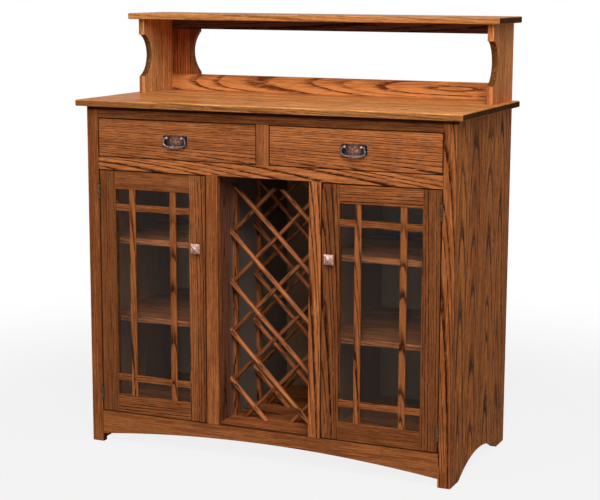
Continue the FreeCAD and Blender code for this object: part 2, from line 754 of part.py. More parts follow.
def drawer_back(side):
    near_x = side * (BOX_NEAR_X + DRAWER_SIDE_THICKNESS)
    far_x = side * (BOX_FAR_X - DRAWER_SIDE_THICKNESS)
    front_y = BOX_BACK_Y - DRAWER_SIDE_THICKNESS
    return box(near_x, far_x, front_y, BOX_BACK_Y, BOTTOM_HIGH, BOX_HIGH)


PULL_X = (FRONT_NEAR_X + FRONT_FAR_X) / 2
PULL_Z = (FRONT_LOW + FRONT_HIGH) / 2
PLATE_Y = FACE_Y - PULL_THICKNESS
BAIL_Y = PLATE_Y - EAR_REACH
BAIL_Z = PULL_Z + EAR_RISE


def pull_ear(centre_x):
    """An ear of the backplate, rounded about the bail pin that passes through it."""
    low_x = centre_x - EAR_WIDTH / 2

    def point(y, z):
        return Vector(low_x, y, BAIL_Z + z)

    profile = outline(
        point(PLATE_Y + PULL_THICKNESS / 2, -EAR_RADIUS),
        (point(BAIL_Y, -EAR_RADIUS),),
        (point(BAIL_Y - EAR_RADIUS, 0), point(BAIL_Y, EAR_RADIUS)),
        (point(PLATE_Y + PULL_THICKNESS / 2, EAR_RADIUS),),
    )
    return profile.extrude(Vector(EAR_WIDTH, 0, 0))


def pull_plate(side):
    """Backplate with bowed long edges and two ears, cross-bored for the bail."""
    centre_x = side * PULL_X
    half_width = PULL_WIDTH / 2
    half_height = PULL_HEIGHT / 2
    shoulder = half_height - PULL_BOW

    def point(x, z):
        return Vector(centre_x + x, PLATE_Y, PULL_Z + z)

    profile = outline(
        point(-half_width, -shoulder),
        (point(0, -half_height), point(half_width, -shoulder)),
        (point(half_width, shoulder),),
        (point(0, half_height), point(-half_width, shoulder)),
    )
    plate = profile.extrude(Vector(0, PULL_THICKNESS, 0))
    for place in (-EAR_SPACING / 2, EAR_SPACING / 2):
        plate = plate.fuse(pull_ear(centre_x + place))
    bore_start = Vector(centre_x - half_width, BAIL_Y, BAIL_Z)
    bore = small_bore(BAIL_PIN_RADIUS + RUNNING_CLEARANCE, bore_start, Vector(1, 0, 0), PULL_WIDTH)
    return plate.cut(bore).removeSplitter()


def bail(side):
    """Hanging handle: a bowed grip between two splayed arms, with a pin into each ear.

    The grip is an arc about a point above the pull, and each corner is an arc that meets
    both the grip and the slanting arm without a kink.
    """
    splay = math.radians(BAIL_SPLAY)
    down_arm = Vector(math.sin(splay), 0, -math.cos(splay))
    outward = Vector(math.cos(splay), 0, math.sin(splay))
    arm_foot = Vector(EAR_SPACING / 2 + BAIL_SIDE, 0, 0)
    arm_top = arm_foot - down_arm * BAIL_RADIUS
    grip_centre = Vector(0, 0, BAIL_GRIP_RADIUS - BAIL_DROP)
    corner_reach = BAIL_GRIP_RADIUS - BAIL_CORNER
    offset = arm_foot - outward * BAIL_CORNER - grip_centre
    run = offset.dot(down_arm)
    arm_length = math.sqrt(run**2 - offset.dot(offset) + corner_reach**2) - run
    corner_centre = grip_centre + offset + down_arm * arm_length
    corner_start = corner_centre + outward * BAIL_CORNER
    toward_grip = (corner_centre - grip_centre) / corner_reach
    corner_end = corner_centre + toward_grip * BAIL_CORNER
    corner_middle = corner_centre + (outward + toward_grip).normalize() * BAIL_CORNER
    grip_low = Vector(0, 0, -BAIL_DROP)
    axis_point = Vector(side * PULL_X, BAIL_Y, BAIL_Z)

    def place(hand, point):
        return axis_point + Vector(hand * point.x, 0, point.z)

    path = Part.Wire([
        Part.LineSegment(place(-1, arm_top), place(-1, corner_start)).toShape(),
        Part.Arc(place(-1, corner_start), place(-1, corner_middle), place(-1, corner_end)).toShape(),
        Part.Arc(place(-1, corner_end), place(1, grip_low), place(1, corner_end)).toShape(),
        Part.Arc(place(1, corner_end), place(1, corner_middle), place(1, corner_start)).toShape(),
        Part.LineSegment(place(1, corner_start), place(1, arm_top)).toShape(),
    ])
    ring = ring_corners(BAIL_SIDES, BAIL_RADIUS, Vector(0, 0, 0), Vector(0, 0, 1))
    section = Part.makePolygon(ring)
    section.rotate(Vector(0, 0, 0), Vector(0, 1, 0), BAIL_SPLAY)
    section.translate(place(-1, arm_top))
    handle = path.makePipeShell([section], True, False)
    for hand in (-1, 1):
        pin_length = BAIL_SIDE + EAR_WIDTH / 2
        pin = small_rod(BAIL_PIN_RADIUS, place(hand, arm_foot), Vector(-hand, 0, 0), pin_length)
        handle = handle.fuse(pin)
    return handle.removeSplitter()


def build_case():
    write("tabletop", tabletop())
    for side in (LEFT, RIGHT):
        name = side_name(side)
        write(name + "_side_panel", side_panel(side))
        write(name + "_frame_stile", frame_stile(side))
        write(name + "_bay_stile", bay_stile(side))
        write(name + "_divider", divider(side))
        write(name + "_shelves", *shelves(side))
    write("top_frame_rail", frame_rail(DRAWER_OPENING_TOP, CASE_HEIGHT))
    write("middle_frame_rail", frame_rail(DOOR_OPENING_TOP, DRAWER_FLOOR))
    write("bottom_frame_rail", bottom_frame_rail())
    write("drawer_centre_stile", drawer_centre_stile())
    write("case_floor", deep_panel(BOTTOM_RAIL_TOP))
    write("drawer_deck", deep_panel(DRAWER_FLOOR))
    write("drawer_guides", *drawer_strips(DRAWER_FLOOR, DRAWER_FLOOR + GUIDE_HEIGHT, 0))
    write("drawer_kickers", *drawer_strips(DRAWER_OPENING_TOP, CASE_HEIGHT, KICKER_LAP))
    write("back_panel", back_panel())
    write("shelf_pins", *shelf_pins())


def build_bay():
    for name, setback in zip(("front_lattice", "rear_lattice"), LATTICE_SETBACKS):
        write(name, *lattice(setback))
    write("lattice_battens", *lattice_battens())


def build_hutch():
    for side in (LEFT, RIGHT):
        write(side_name(side) + "_hutch_support", hutch_support(side))
    write("hutch_shelf", hutch_shelf())
    write("hutch_backsplash", hutch_back_rail(TOP_Z, TOP_Z + BACKSPLASH_HEIGHT))
    write("hutch_apron", hutch_back_rail(HUTCH_TOP - APRON_HEIGHT, HUTCH_TOP))
    write("hutch_corner_bracket", hutch_corner_bracket())


def build_door(side):
    name = side_name(side) + "_door_"
    write(name + "hinge_stile", door_stile(side, DOOR_FAR_X, SIGHT_FAR_X))
    write(name + "knob_stile", door_stile(side, DOOR_NEAR_X, SIGHT_NEAR_X))
    write(name + "top_rail", door_rail(side, SIGHT_HIGH, DOOR_HIGH))
    write(name + "bottom_rail", door_rail(side, DOOR_LOW, SIGHT_LOW))
    write(name + "glass", door_glass(side))
    write(name + "glazing_bars", *glazing_bars(side))
    write(name + "knob", door_knob(side))
    write(name + "hinge_leaves", *door_hinge_leaves(side))


def build_drawer(side):
    name = side_name(side) + "_drawer_"
    write(name + "front", drawer_front(side))
    write(name + "sides", *drawer_sides(side))
    write(name + "back", drawer_back(side))
    write(name + "bottom", drawer_bottom(side))
    write(name + "pull_plate", pull_plate(side))
    write(name + "bail", bail(side))


os.makedirs("parts", exist_ok=True)
build_case()
build_bay()
build_hutch()
for hand in (LEFT, RIGHT):
    build_door(hand)
    build_drawer(hand)
write("hinge_frame_leaves", *hinge_frame_leaves())
write("door_catches", door_catch(LEFT), door_catch(RIGHT))
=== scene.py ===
# %% [markdown]
# A wine cabinet, dressed for its portrait
#
# The cabinet's boards, doors and drawers come in as finished solids. This lesson gives them
# what a plain solid lacks: oak with real figure, eased edges, glass, aged copper pulls and
# bronze hinges, and the light and camera of a furniture photograph. Lengths are in metres.

import math

import bmesh
import bpy
from mathutils import Matrix, Vector


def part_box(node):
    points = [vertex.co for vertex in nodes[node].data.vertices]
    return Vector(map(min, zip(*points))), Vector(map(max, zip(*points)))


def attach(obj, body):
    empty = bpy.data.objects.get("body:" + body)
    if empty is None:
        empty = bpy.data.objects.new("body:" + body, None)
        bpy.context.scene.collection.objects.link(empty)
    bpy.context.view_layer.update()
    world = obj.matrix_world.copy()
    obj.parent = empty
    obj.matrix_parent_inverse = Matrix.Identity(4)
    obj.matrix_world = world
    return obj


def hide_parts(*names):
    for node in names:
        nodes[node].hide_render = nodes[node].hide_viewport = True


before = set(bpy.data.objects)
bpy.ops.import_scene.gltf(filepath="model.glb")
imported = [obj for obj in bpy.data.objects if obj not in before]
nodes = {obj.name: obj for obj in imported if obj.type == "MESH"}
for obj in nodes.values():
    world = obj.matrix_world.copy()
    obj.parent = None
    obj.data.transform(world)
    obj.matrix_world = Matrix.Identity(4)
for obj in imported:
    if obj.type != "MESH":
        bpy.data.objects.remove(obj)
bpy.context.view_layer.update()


# %% [markdown]
# Camera
#
# The photograph looks at the cabinet from its right, a little above the tabletop, through a
# long lens, so uprights stay almost upright. A camera can be aimed with a constraint, but
# the exact view is easier to keep when its three axes are written from two angles and a
# small roll, as a surveyor would note them.

# %% Camera
CAMERA_PLACE = Vector((1.881, -4.2425, 1.4109))
CAMERA_AZIMUTH = math.radians(23.810)
CAMERA_ELEVATION = math.radians(9.859)
CAMERA_ROLL = math.radians(0.201)
CAMERA_LENS = 92.58
SENSOR_WIDTH = 36
VIEW_LIMIT = 60


def make_camera():
    forward = Vector((
        -math.sin(CAMERA_AZIMUTH) * math.cos(CAMERA_ELEVATION),
        math.cos(CAMERA_AZIMUTH) * math.cos(CAMERA_ELEVATION),
        -math.sin(CAMERA_ELEVATION),
    ))
    level = Vector((math.cos(CAMERA_AZIMUTH), math.sin(CAMERA_AZIMUTH), 0))
    above = level.cross(forward)
    right = level * math.cos(CAMERA_ROLL) + above * math.sin(CAMERA_ROLL)
    up = above * math.cos(CAMERA_ROLL) - level * math.sin(CAMERA_ROLL)
    data = bpy.data.cameras.new("portrait_camera")
    data.sensor_width = SENSOR_WIDTH
    data.lens = CAMERA_LENS
    data.clip_end = VIEW_LIMIT
    camera = bpy.data.objects.new("portrait_camera", data)
    axes = Matrix((right, up, -forward)).transposed().to_4x4()
    camera.matrix_world = Matrix.Translation(CAMERA_PLACE) @ axes
    bpy.context.scene.collection.objects.link(camera)
    bpy.context.scene.camera = camera
    return camera


camera = make_camera()
print("camera at", [round(part, 3) for part in camera.location])


# %% [markdown]
# Wiring shaders by hand
#
# Every finish below is a small network of nodes. These helpers keep a network readable:
# one adds a node and fills or links its inputs, one opens a group with named sockets.

# %% Shader helpers
def add(tree, kind, inputs=None, **settings):
    """A node of one kind. inputs gives values or sockets by name or by number."""
    node = tree.nodes.new(kind)
    for name, value in settings.items():
        setattr(node, name, value)
    for name, value in (inputs or {}).items():
        if isinstance(value, bpy.types.NodeSocket):
            tree.links.new(value, node.inputs[name])
        else:
            node.inputs[name].default_value = value
    return node


def calc(tree, operation, *values, clamp=False):
    """One sum with numbers, and the socket that carries its result."""
    inputs = dict(enumerate(values))
    return add(tree, "ShaderNodeMath", inputs, operation=operation, use_clamp=clamp).outputs[0]


def reckon(tree, operation, first, second):
    """One sum with two vectors."""
    inputs = {0: first, 1: second}
    return add(tree, "ShaderNodeVectorMath", inputs, operation=operation).outputs[0]


def scaled(tree, vector, factor):
    inputs = {0: vector, "Scale": factor}
    return add(tree, "ShaderNodeVectorMath", inputs, operation="SCALE").outputs[0]


def split(tree, vector):
    return add(tree, "ShaderNodeSeparateXYZ", {0: vector}).outputs


def combine(tree, x=0.0, y=0.0, z=0.0):
    return add(tree, "ShaderNodeCombineXYZ", {"X": x, "Y": y, "Z": z}).outputs[0]


def remap(tree, value, low, high, to_low=0.0, to_high=1.0):
    """A smooth step from low to high, put out between two other values."""
    node = add(tree, "ShaderNodeMapRange", {
        "Value": value, "From Min": low, "From Max": high, "To Min": to_low, "To Max": to_high,
    }, interpolation_type="SMOOTHSTEP")
    return node.outputs["Result"]


def stretched_noise(tree, vector, stretch, detail=2.0, rough=0.5):
    """Noise between 0 and 1 whose grains per metre are given along X, Y and Z."""
    noise = add(tree, "ShaderNodeTexNoise", {
        "Vector": reckon(tree, "MULTIPLY", vector, stretch),
        "Scale": 1.0, "Detail": detail, "Roughness": rough,
    })
    return noise.outputs["Fac"]


def blend_colours(tree, share, first, second, kind="MIX"):
    node = add(tree, "ShaderNodeMix", data_type="RGBA", blend_type=kind)
    for socket, value in (("Factor_Float", share), ("A_Color", first), ("B_Color", second)):
        target = next(entry for entry in node.inputs if entry.identifier == socket)
        if isinstance(value, bpy.types.NodeSocket):
            tree.links.new(value, target)
        else:
            target.default_value = value
    return next(entry for entry in node.outputs if entry.identifier == "Result_Color")


print("shader helpers ready")

# %% Groups, colours and materials
def open_group(name, inputs, outputs):
    """An empty shader group with named sockets, given as (name, kind, default)."""
    group = bpy.data.node_groups.new(name, "ShaderNodeTree")
    for label, kind, default in inputs:
        socket = group.interface.new_socket(label, in_out="INPUT", socket_type="NodeSocket" + kind)
        socket.default_value = default
    for label, kind in outputs:
        group.interface.new_socket(label, in_out="OUTPUT", socket_type="NodeSocket" + kind)
    enter = group.nodes.new("NodeGroupInput")
    leave = group.nodes.new("NodeGroupOutput")
    return group, enter.outputs, leave.inputs


def srgb(red, green, blue):
    """A colour as read off a picture, 0 to 255, turned to Blender's linear values."""
    parts = []
    for part in (red, green, blue):
        share = part / 255
        parts.append(share / 12.92 if share <= 0.04045 else ((share + 0.055) / 1.055) ** 2.4)
    return (*parts, 1.0)


def open_material(name):
    material = bpy.data.materials.new(name)
    material.use_nodes = True
    tree = material.node_tree
    tree.nodes.clear()
    shader = tree.nodes.new("ShaderNodeBsdfPrincipled")
    output = tree.nodes.new("ShaderNodeOutputMaterial")
    tree.links.new(shader.outputs["BSDF"], output.inputs["Surface"])
    return material, tree, shader


def object_coordinates(tree):
    return tree.nodes.new("ShaderNodeTexCoord").outputs["Object"]


print("mid grey 128 is", round(srgb(128, 128, 128)[0], 3), "in linear light")


# %% [markdown]
# Oak
#
# Red oak shows dark open-pored bands where each year's growth began, and pale dense wood
# between them. A flat photograph of wood could be wrapped round each board, but its lines
# would not meet at the edges. Here the tree itself is modelled: rings about a pith that runs
# near the board, leaning a little and wandering, so every cut through it, face, edge or end,
# shows the figure it should. Where the pith leans, the rings close into cathedral arches.

# %% Sockets of the oak figure
OAK_PALE = srgb(196, 118, 66)
OAK_BODY = srgb(150, 84, 44)
OAK_LINE = srgb(60, 26, 12)
OAK_PORE = srgb(40, 19, 9)
VECTOR_ZERO = (0.0, 0.0, 0.0)
FAR_OFF = 10.0
OAK_SOCKETS = [
    ("Vector", "Vector", VECTOR_ZERO),
    ("Board Width", "Float", FAR_OFF),
    ("Ring Spacing", "Float", 0.005),
    ("Lean", "Float", 0.012),
    ("Wander", "Float", 0.012),
    ("Line Strength", "Float", 0.8),
    ("Tone", "Float", 1.0),
    ("Gloss Loss", "Float", 0.42),
    ("Streaks", "Float", 0.12),
    ("Flecks", "Float", 0.4),
    ("Heart", "Vector", VECTOR_ZERO),
    # Borders: darker end grain on sawn ends, painted shade along gaps and under the tops
    ("Low Border", "Vector", (-FAR_OFF, -FAR_OFF, -FAR_OFF)),
    ("High Border", "Vector", (FAR_OFF, FAR_OFF, FAR_OFF)),
    ("Border Width", "Float", 0.0012),
    ("Border Shade", "Float", 0.28),
    ("Pale", "Color", OAK_PALE),
    ("Body", "Color", OAK_BODY),
    ("Line", "Color", OAK_LINE),
]
print("the oak figure takes", len(OAK_SOCKETS), "inputs")

# %% Growth rings
STRIP_SHIFT = (0.03, 0.04, 3.0)
RIPPLES = (((6, 6, 0.7), 1.2), ((24, 24, 2), 0.3), ((110, 110, 7), 0.06))
UNEVEN_RATE = 0.37
UNEVENNESS = 1.6
RING_RISE = (0.0, 0.07)
RING_FALL = (0.1, 0.48)
RING_FORCE = (0.7, 0.55)


def place_in_tree(tree, given):
    """Edge-glued boards: each strip across the width takes its own place in the tree."""
    x, y, z = split(tree, given["Vector"])
    strip = calc(tree, "ROUND", calc(tree, "DIVIDE", x, given["Board Width"]))
    luck = add(tree, "ShaderNodeTexWhiteNoise", {"W": strip}, noise_dimensions="1D")
    shift = reckon(tree, "MULTIPLY", luck.outputs["Color"], STRIP_SHIFT)
    strip_x = calc(tree, "SUBTRACT", x, calc(tree, "MULTIPLY", strip, given["Board Width"]))
    return reckon(tree, "ADD", combine(tree, strip_x, y, z), shift)


def early_wood(tree, given, spot, along):
    """The dark early wood: full where a ring begins, and gone before the next one."""
    x, y, _ = split(tree, spot)
    depth = calc(tree, "MULTIPLY_ADD", along, given["Lean"], y)
    squares = calc(tree, "ADD", calc(tree, "MULTIPLY", x, x), calc(tree, "MULTIPLY", depth, depth))
    radius = calc(tree, "SQRT", squares)
    for stretch, share in RIPPLES:
        ripple = calc(tree, "SUBTRACT", stretched_noise(tree, spot, stretch), 0.5)
        swing = calc(tree, "MULTIPLY", given["Wander"], share)
        radius = calc(tree, "MULTIPLY_ADD", ripple, swing, radius)
    rings = calc(tree, "DIVIDE", radius, given["Ring Spacing"])
    uneven = add(tree, "ShaderNodeTexNoise", {
        "W": calc(tree, "MULTIPLY", rings, UNEVEN_RATE), "Scale": 1.0, "Detail": 0.0,
    }, noise_dimensions="1D")
    rings = calc(tree, "MULTIPLY_ADD", uneven.outputs["Fac"], UNEVENNESS, rings)
    number = calc(tree, "FLOOR", rings)
    luck = add(tree, "ShaderNodeTexWhiteNoise", {"W": number}, noise_dimensions="1D")
    force = calc(tree, "MULTIPLY_ADD", luck.outputs["Value"], *RING_FORCE)
    phase = calc(tree, "FRACT", rings)
    rise = remap(tree, phase, *RING_RISE)
    fall = remap(tree, phase, *RING_FALL, 1.0, 0.0)
    return calc(tree, "MULTIPLY", calc(tree, "MULTIPLY", rise, fall), force)


print("growth rings ripple on", len(RIPPLES), "scales")

# %% Pores, fibres and borders
# Grains per metre: across the board, through it and along it
PORE_GRAIN = (1300, 1300, 55)
FLECK_GRAIN = (460, 460, 48)
STREAK_GRAIN = (170, 170, 13)
DASH_GRAIN = (260, 260, 34)
FIBRE_GRAIN = (240, 240, 12)
TONE_GRAIN = (22, 22, 0.8)
# The values of a noise at which its marks begin and are full
PORE_EDGES = (0.54, 0.66)
FLECK_EDGES = (0.49, 0.66)
STREAK_EDGES = (0.56, 0.7)
DASH_EDGES = (0.36, 0.54)
BODY_EDGES = (0.25, 0.75)
LEAST_DASH = 0.25
FIBRE_SHARE = 1.5
PORE_CROWDING = (0.8, 0.2)
PORE_COVER = 0.75
PORE_DULLNESS = 0.25
BORDER_DULLNESS = 0.25
BAND_SINK = 0.35


def open_pores(tree, spot, early):
    """Open pores, drawn out along the grain and crowded into the early wood."""
    pores = remap(tree, stretched_noise(tree, spot, PORE_GRAIN, detail=1.0), *PORE_EDGES)
    return calc(tree, "MULTIPLY", pores, calc(tree, "MULTIPLY_ADD", early, *PORE_CROWDING))


def body_wood(tree, given, spot):
    """Pale wood that turns darker and back, in broad bands and in fine fibres."""
    fibre = stretched_noise(tree, spot, FIBRE_GRAIN, detail=4.0, rough=0.6)
    tone = stretched_noise(tree, spot, TONE_GRAIN)
    mixed = calc(tree, "MULTIPLY_ADD", calc(tree, "SUBTRACT", fibre, 0.5), FIBRE_SHARE, tone)
    return blend_colours(tree, remap(tree, mixed, *BODY_EDGES), given["Pale"], given["Body"])


def ring_lines(tree, given, spot, early):
    """The bands of early wood as they show on a board, broken into dashes."""
    patches = stretched_noise(tree, spot, DASH_GRAIN)
    dashes = remap(tree, patches, *DASH_EDGES, LEAST_DASH, 1.0)
    broken = calc(tree, "MULTIPLY", early, dashes)
    return calc(tree, "MULTIPLY", broken, given["Line Strength"], clamp=True)


def dark_border(tree, given, from_heart):
    """1 along a sawn end or a gap, fading to 0 over the width of the border."""
    to_high = reckon(tree, "SUBTRACT", given["High Border"], from_heart)
    to_low = reckon(tree, "SUBTRACT", from_heart, given["Low Border"])
    inset = split(tree, reckon(tree, "MINIMUM", to_high, to_low))
    nearest = calc(tree, "MINIMUM", inset["X"], inset["Z"])
    return remap(tree, nearest, 0.0, given["Border Width"], 1.0, 0.0)


print("pores are", round(1000 / PORE_GRAIN[2]), "mm long and under 1 mm wide")

# %% The oak figure
def make_oak_figure():
    results = [("Color", "Color"), ("Roughness", "Float"), ("Height", "Float")]
    tree, given, result = open_group("Oak figure", OAK_SOCKETS, results)
    spot = place_in_tree(tree, given)
    from_heart = reckon(tree, "SUBTRACT", given["Vector"], given["Heart"])
    early = early_wood(tree, given, spot, split(tree, from_heart)["Z"])
    band = ring_lines(tree, given, spot, early)
    pores = open_pores(tree, spot, early)
    streaks = remap(tree, stretched_noise(tree, spot, STREAK_GRAIN), *STREAK_EDGES)
    speckle = stretched_noise(tree, spot, FLECK_GRAIN, detail=4.0, rough=0.7)
    flecks = remap(tree, speckle, *FLECK_EDGES)

    # Colour: body wood, then the dark bands, the streaks and flecks, and the pores
    colour = blend_colours(tree, band, body_wood(tree, given, spot), given["Line"])
    for marks, label in ((streaks, "Streaks"), (flecks, "Flecks")):
        share = calc(tree, "MULTIPLY", marks, given[label])
        colour = blend_colours(tree, share, colour, given["Line"])
    colour = blend_colours(tree, calc(tree, "MULTIPLY", pores, PORE_COVER), colour, OAK_PORE)

    # Sawn ends drink more stain, and gaps and overhangs get painted shade: darker and duller
    # Painted shade also tones down the front edges of the two tops
    border = dark_border(tree, given, from_heart)
    loss = calc(tree, "SUBTRACT", given["Border Shade"], 1.0)
    shade = calc(tree, "MULTIPLY", given["Tone"], calc(tree, "MULTIPLY_ADD", border, loss, 1.0))
    tree.links.new(scaled(tree, colour, shade), result["Color"])
    rough = calc(tree, "MULTIPLY_ADD", pores, PORE_DULLNESS, given["Gloss Loss"])
    dull = calc(tree, "MULTIPLY_ADD", border, BORDER_DULLNESS, rough)
    tree.links.new(dull, result["Roughness"])
    sunk = calc(tree, "MULTIPLY_ADD", band, BAND_SINK, pores)
    tree.links.new(calc(tree, "SUBTRACT", 1.0, sunk), result["Height"])
    return tree


oak_figure = make_oak_figure()
print("oak figure:", len(oak_figure.nodes), "nodes")


# %% [markdown]
# One finish for each board
#
# A cabinetmaker turns each board so that its grain runs along its length. Each finish below
# turns and shifts the same tree to suit one board: straight and flecked where the maker
# chose quiet wood, wide arches where the photograph shows a lively plank. A board also gets
# a dark border: darker end grain stain on its sawn ends, and painted shade along a gap,
# under the top and on the tops' front edges.

# %% Turning and finishing a board
AXES = {"x": Vector((1, 0, 0)), "y": Vector((0, 1, 0)), "z": Vector((0, 0, 1))}
SIDE_AXES = {"left": 0, "right": 0, "front": 1, "back": 1, "bottom": 2, "top": 2}
LOW_SIDES = ("left", "front", "bottom")
HEART_STEP = 1.37
PORE_BUMP = 0.35
PORE_DEPTH = 0.0006


def grain_turn(grain, face):
    """The turn that brings a board's grain to Z and the normal of its face to Y."""
    along = AXES[grain] if isinstance(grain, str) else Vector(grain).normalized()
    outward = AXES[face]
    return Matrix((outward.cross(along), outward, along))


def oak_finish(name, centre, grain, face,
               pith=(0.01, 0.06), seed=0.0, gloss=0.42, sheen=0.04, **figure):
    """An oak material. pith is how far the heart of the tree lies across and behind."""
    material, tree, shader = open_material(name)
    turn = grain_turn(grain, face)
    heart = Vector((pith[0], pith[1], seed * HEART_STEP))
    mapping = add(tree, "ShaderNodeMapping", {
        "Vector": object_coordinates(tree),
        "Rotation": turn.to_euler(),
        "Location": heart - turn @ Vector(centre),
    })
    oak = add(tree, "ShaderNodeGroup", node_tree=oak_figure)
    tree.links.new(mapping.outputs[0], oak.inputs["Vector"])
    oak.inputs["Gloss Loss"].default_value = gloss
    oak.inputs["Heart"].default_value = heart
    for label, value in figure.items():
        oak.inputs[label.replace("_", " ").title()].default_value = value
    bump = add(tree, "ShaderNodeBump", {
        "Height": oak.outputs["Height"], "Strength": PORE_BUMP, "Distance": PORE_DEPTH,
    })
    tree.links.new(oak.outputs["Color"], shader.inputs["Base Color"])
    tree.links.new(oak.outputs["Roughness"], shader.inputs["Roughness"])
    tree.links.new(bump.outputs["Normal"], shader.inputs["Normal"])
    shader.inputs["Specular IOR Level"].default_value = sheen
    return material


def centre_of(node):
    low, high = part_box(node)
    return (low + high) / 2


def border_corners(node, grain, face, shaded):
    """The corners, in the board's own directions, that its dark borders are measured from."""
    low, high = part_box(node)
    half = (high - low) / 2
    near, far = Vector([-FAR_OFF] * 3), Vector([FAR_OFF] * 3)
    for side, inset in shaded.items():
        axis = SIDE_AXES[side]
        if side in LOW_SIDES:
            near[axis] = inset - half[axis]
        else:
            far[axis] = half[axis] - inset
    turn = grain_turn(grain, face)
    ends = (turn @ near, turn @ far)
    return [Vector([pick(end[axis] for end in ends) for axis in range(3)]) for pick in (min, max)]


def dress(node, material):
    for entry in nodes[node].material_slots:
        entry.material = material


def finish_board(node, grain, face, shaded=None, **settings):
    """shaded gives the sides with a dark border, and how far in from each it starts to fade."""
    # The borders are end grain stain on sawn ends, and painted shade along gaps and overhangs
    low, high = border_corners(node, grain, face, shaded or {})
    borders = dict(low_border=low, high_border=high)
    name = "oak_" + node
    dress(node, oak_finish(name, centre_of(node), grain, face, **borders, **settings))


print("the grain turn of a rail:", [round(part, 2) for part in grain_turn("x", "y").to_euler()])

# %% Kinds of figure and colours of stain
QUIET = dict(pith=(0.16, 0.03), ring_spacing=0.0042, line_strength=0.7)
LIVELY = dict(pith=(0.010, 0.040), ring_spacing=0.0075, lean=0.05, wander=0.016, line_strength=1.1)
STRIPED = dict(pith=(0.07, 0.03), ring_spacing=0.0075, lean=0.05, line_strength=1.1)
SHADED = dict(pale=srgb(150, 98, 72), body=srgb(106, 66, 48))
# Greyer colours that paint the shade on the hutch apron
APRON_SHADE_COLOURS = dict(pale=srgb(158, 118, 98), body=srgb(112, 82, 68))
RUDDY = dict(pale=srgb(222, 146, 84), body=srgb(184, 110, 56), line=srgb(104, 54, 28))
LIGHT = dict(pale=srgb(214, 156, 100), body=srgb(174, 122, 72), line=srgb(104, 58, 32))
AMBER = dict(pale=srgb(206, 124, 56), body=srgb(144, 80, 34))
HONEY = dict(pale=srgb(200, 134, 76), body=srgb(156, 96, 50), line=srgb(100, 52, 26))
# Painted shadow under the tabletop and the hutch shelf: how deep the full dark border reaches
PAINTED_SHADOW_UNDER_TOP = 0.004
OVERHANG_SHADE = 0.010
# A wider border of painted shade along the gaps round the doors and drawers
OUTER = dict(border_width=0.0022)


def gaps(*sides, **deeper):
    """Borders that start at the very edge on some sides, and deeper in on others."""
    return dict({side: 0.0 for side in sides}, **deeper)


print("a drawer front is shaded along", ", ".join(gaps("left", "right", "top", "bottom")))

# %% Upright boards
# Each gap border is painted shade; at the top of the frame stiles, the tabletop's painted shadow
UPRIGHT_BOARDS = {
    "left_frame_stile": dict(
        QUIET, seed=1, tone=0.8, sheen=0.006, shaded=gaps("right", top=OVERHANG_SHADE)),
    "right_frame_stile": dict(
        LIVELY, seed=2, tone=0.95, sheen=0.006, shaded=gaps("left", top=OVERHANG_SHADE)),
    "left_bay_stile": dict(QUIET, seed=3, tone=0.95, shaded=gaps("left")),
    "right_bay_stile": dict(LIVELY, seed=4, tone=1.1, shaded=gaps("right")),
    "drawer_centre_stile": dict(QUIET, seed=5, tone=0.85, shaded=gaps("left", "right")),
    "left_door_hinge_stile": dict(
        QUIET, seed=6, tone=0.5, shaded=gaps("left", "top", "bottom"), **OUTER),
    "left_door_knob_stile": dict(
        STRIPED, seed=7, tone=0.74, shaded=gaps("right", "top", "bottom"), **OUTER),
    "right_door_hinge_stile": dict(
        STRIPED, seed=8, ring_spacing=0.006, tone=0.52,
        shaded=gaps("right", "top", "bottom"), **OUTER),
    "right_door_knob_stile": dict(
        LIVELY, seed=9, tone=0.6, shaded=gaps("left", "top", "bottom"), **OUTER),
}
for node, settings in UPRIGHT_BOARDS.items():
    finish_board(node, "z", "y", **settings)
print("upright boards:", len(UPRIGHT_BOARDS))

# %% Level boards
# Along every gap of a drawer front the border is painted shade
DRAWER = dict(
    ring_spacing=0.0045, lean=0.03, line_strength=1.2,
    shaded=gaps("left", "right", "top", "bottom"), **OUTER)
LEVEL_BOARDS = {
    # Low tone and top border: painted shadow of the tabletop on the top rail
    "top_frame_rail": dict(
        QUIET, seed=11, tone=0.52, shaded=gaps("bottom", top=OVERHANG_SHADE)),
    "middle_frame_rail": dict(
        seed=12, pith=(-0.06, 0.08), ring_spacing=0.007, lean=0.06, wander=0.02,
        line_strength=1.5, tone=1.15, shaded=gaps("top", "bottom")),
    "bottom_frame_rail": dict(QUIET, seed=13, tone=0.8, shaded=gaps("top")),
    "left_drawer_front": dict(DRAWER, seed=14, pith=(-0.084, 0.05), tone=0.95),
    "right_drawer_front": dict(DRAWER, seed=15, pith=(-0.078, 0.05), tone=1.05),
    "left_door_top_rail": dict(QUIET, seed=16, tone=0.7, shaded=gaps("top"), **OUTER),
    "left_door_bottom_rail": dict(STRIPED, seed=17, tone=0.7, shaded=gaps("bottom"), **OUTER),
    "right_door_top_rail": dict(STRIPED, seed=18, tone=0.85, shaded=gaps("top"), **OUTER),
    "right_door_bottom_rail": dict(QUIET, seed=19, tone=0.66, shaded=gaps("bottom"), **OUTER),
    # High tone: painted light, for what the hutch shelf keeps off the backsplash
    "hutch_backsplash": dict(
        seed=20, pith=(-0.012, 0.04), ring_spacing=0.011, lean=-0.09, wander=0.03,
        line_strength=1.1, tone=1.6, streaks=0.0, flecks=0.2, **HONEY),
    # Low tone, greyer colours and top border: painted shade under the hutch shelf
    "hutch_apron": dict(
        LIVELY, seed=21, ring_spacing=0.009, tone=0.66, shaded=dict(top=PAINTED_SHADOW_UNDER_TOP), **APRON_SHADE_COLOURS),
    "left_drawer_back": dict(QUIET, seed=22),
    "right_drawer_back": dict(QUIET, seed=23),
}
for node, settings in LEVEL_BOARDS.items():
    finish_board(node, "x", "y", **settings)
print("level boards:", len(LEVEL_BOARDS))
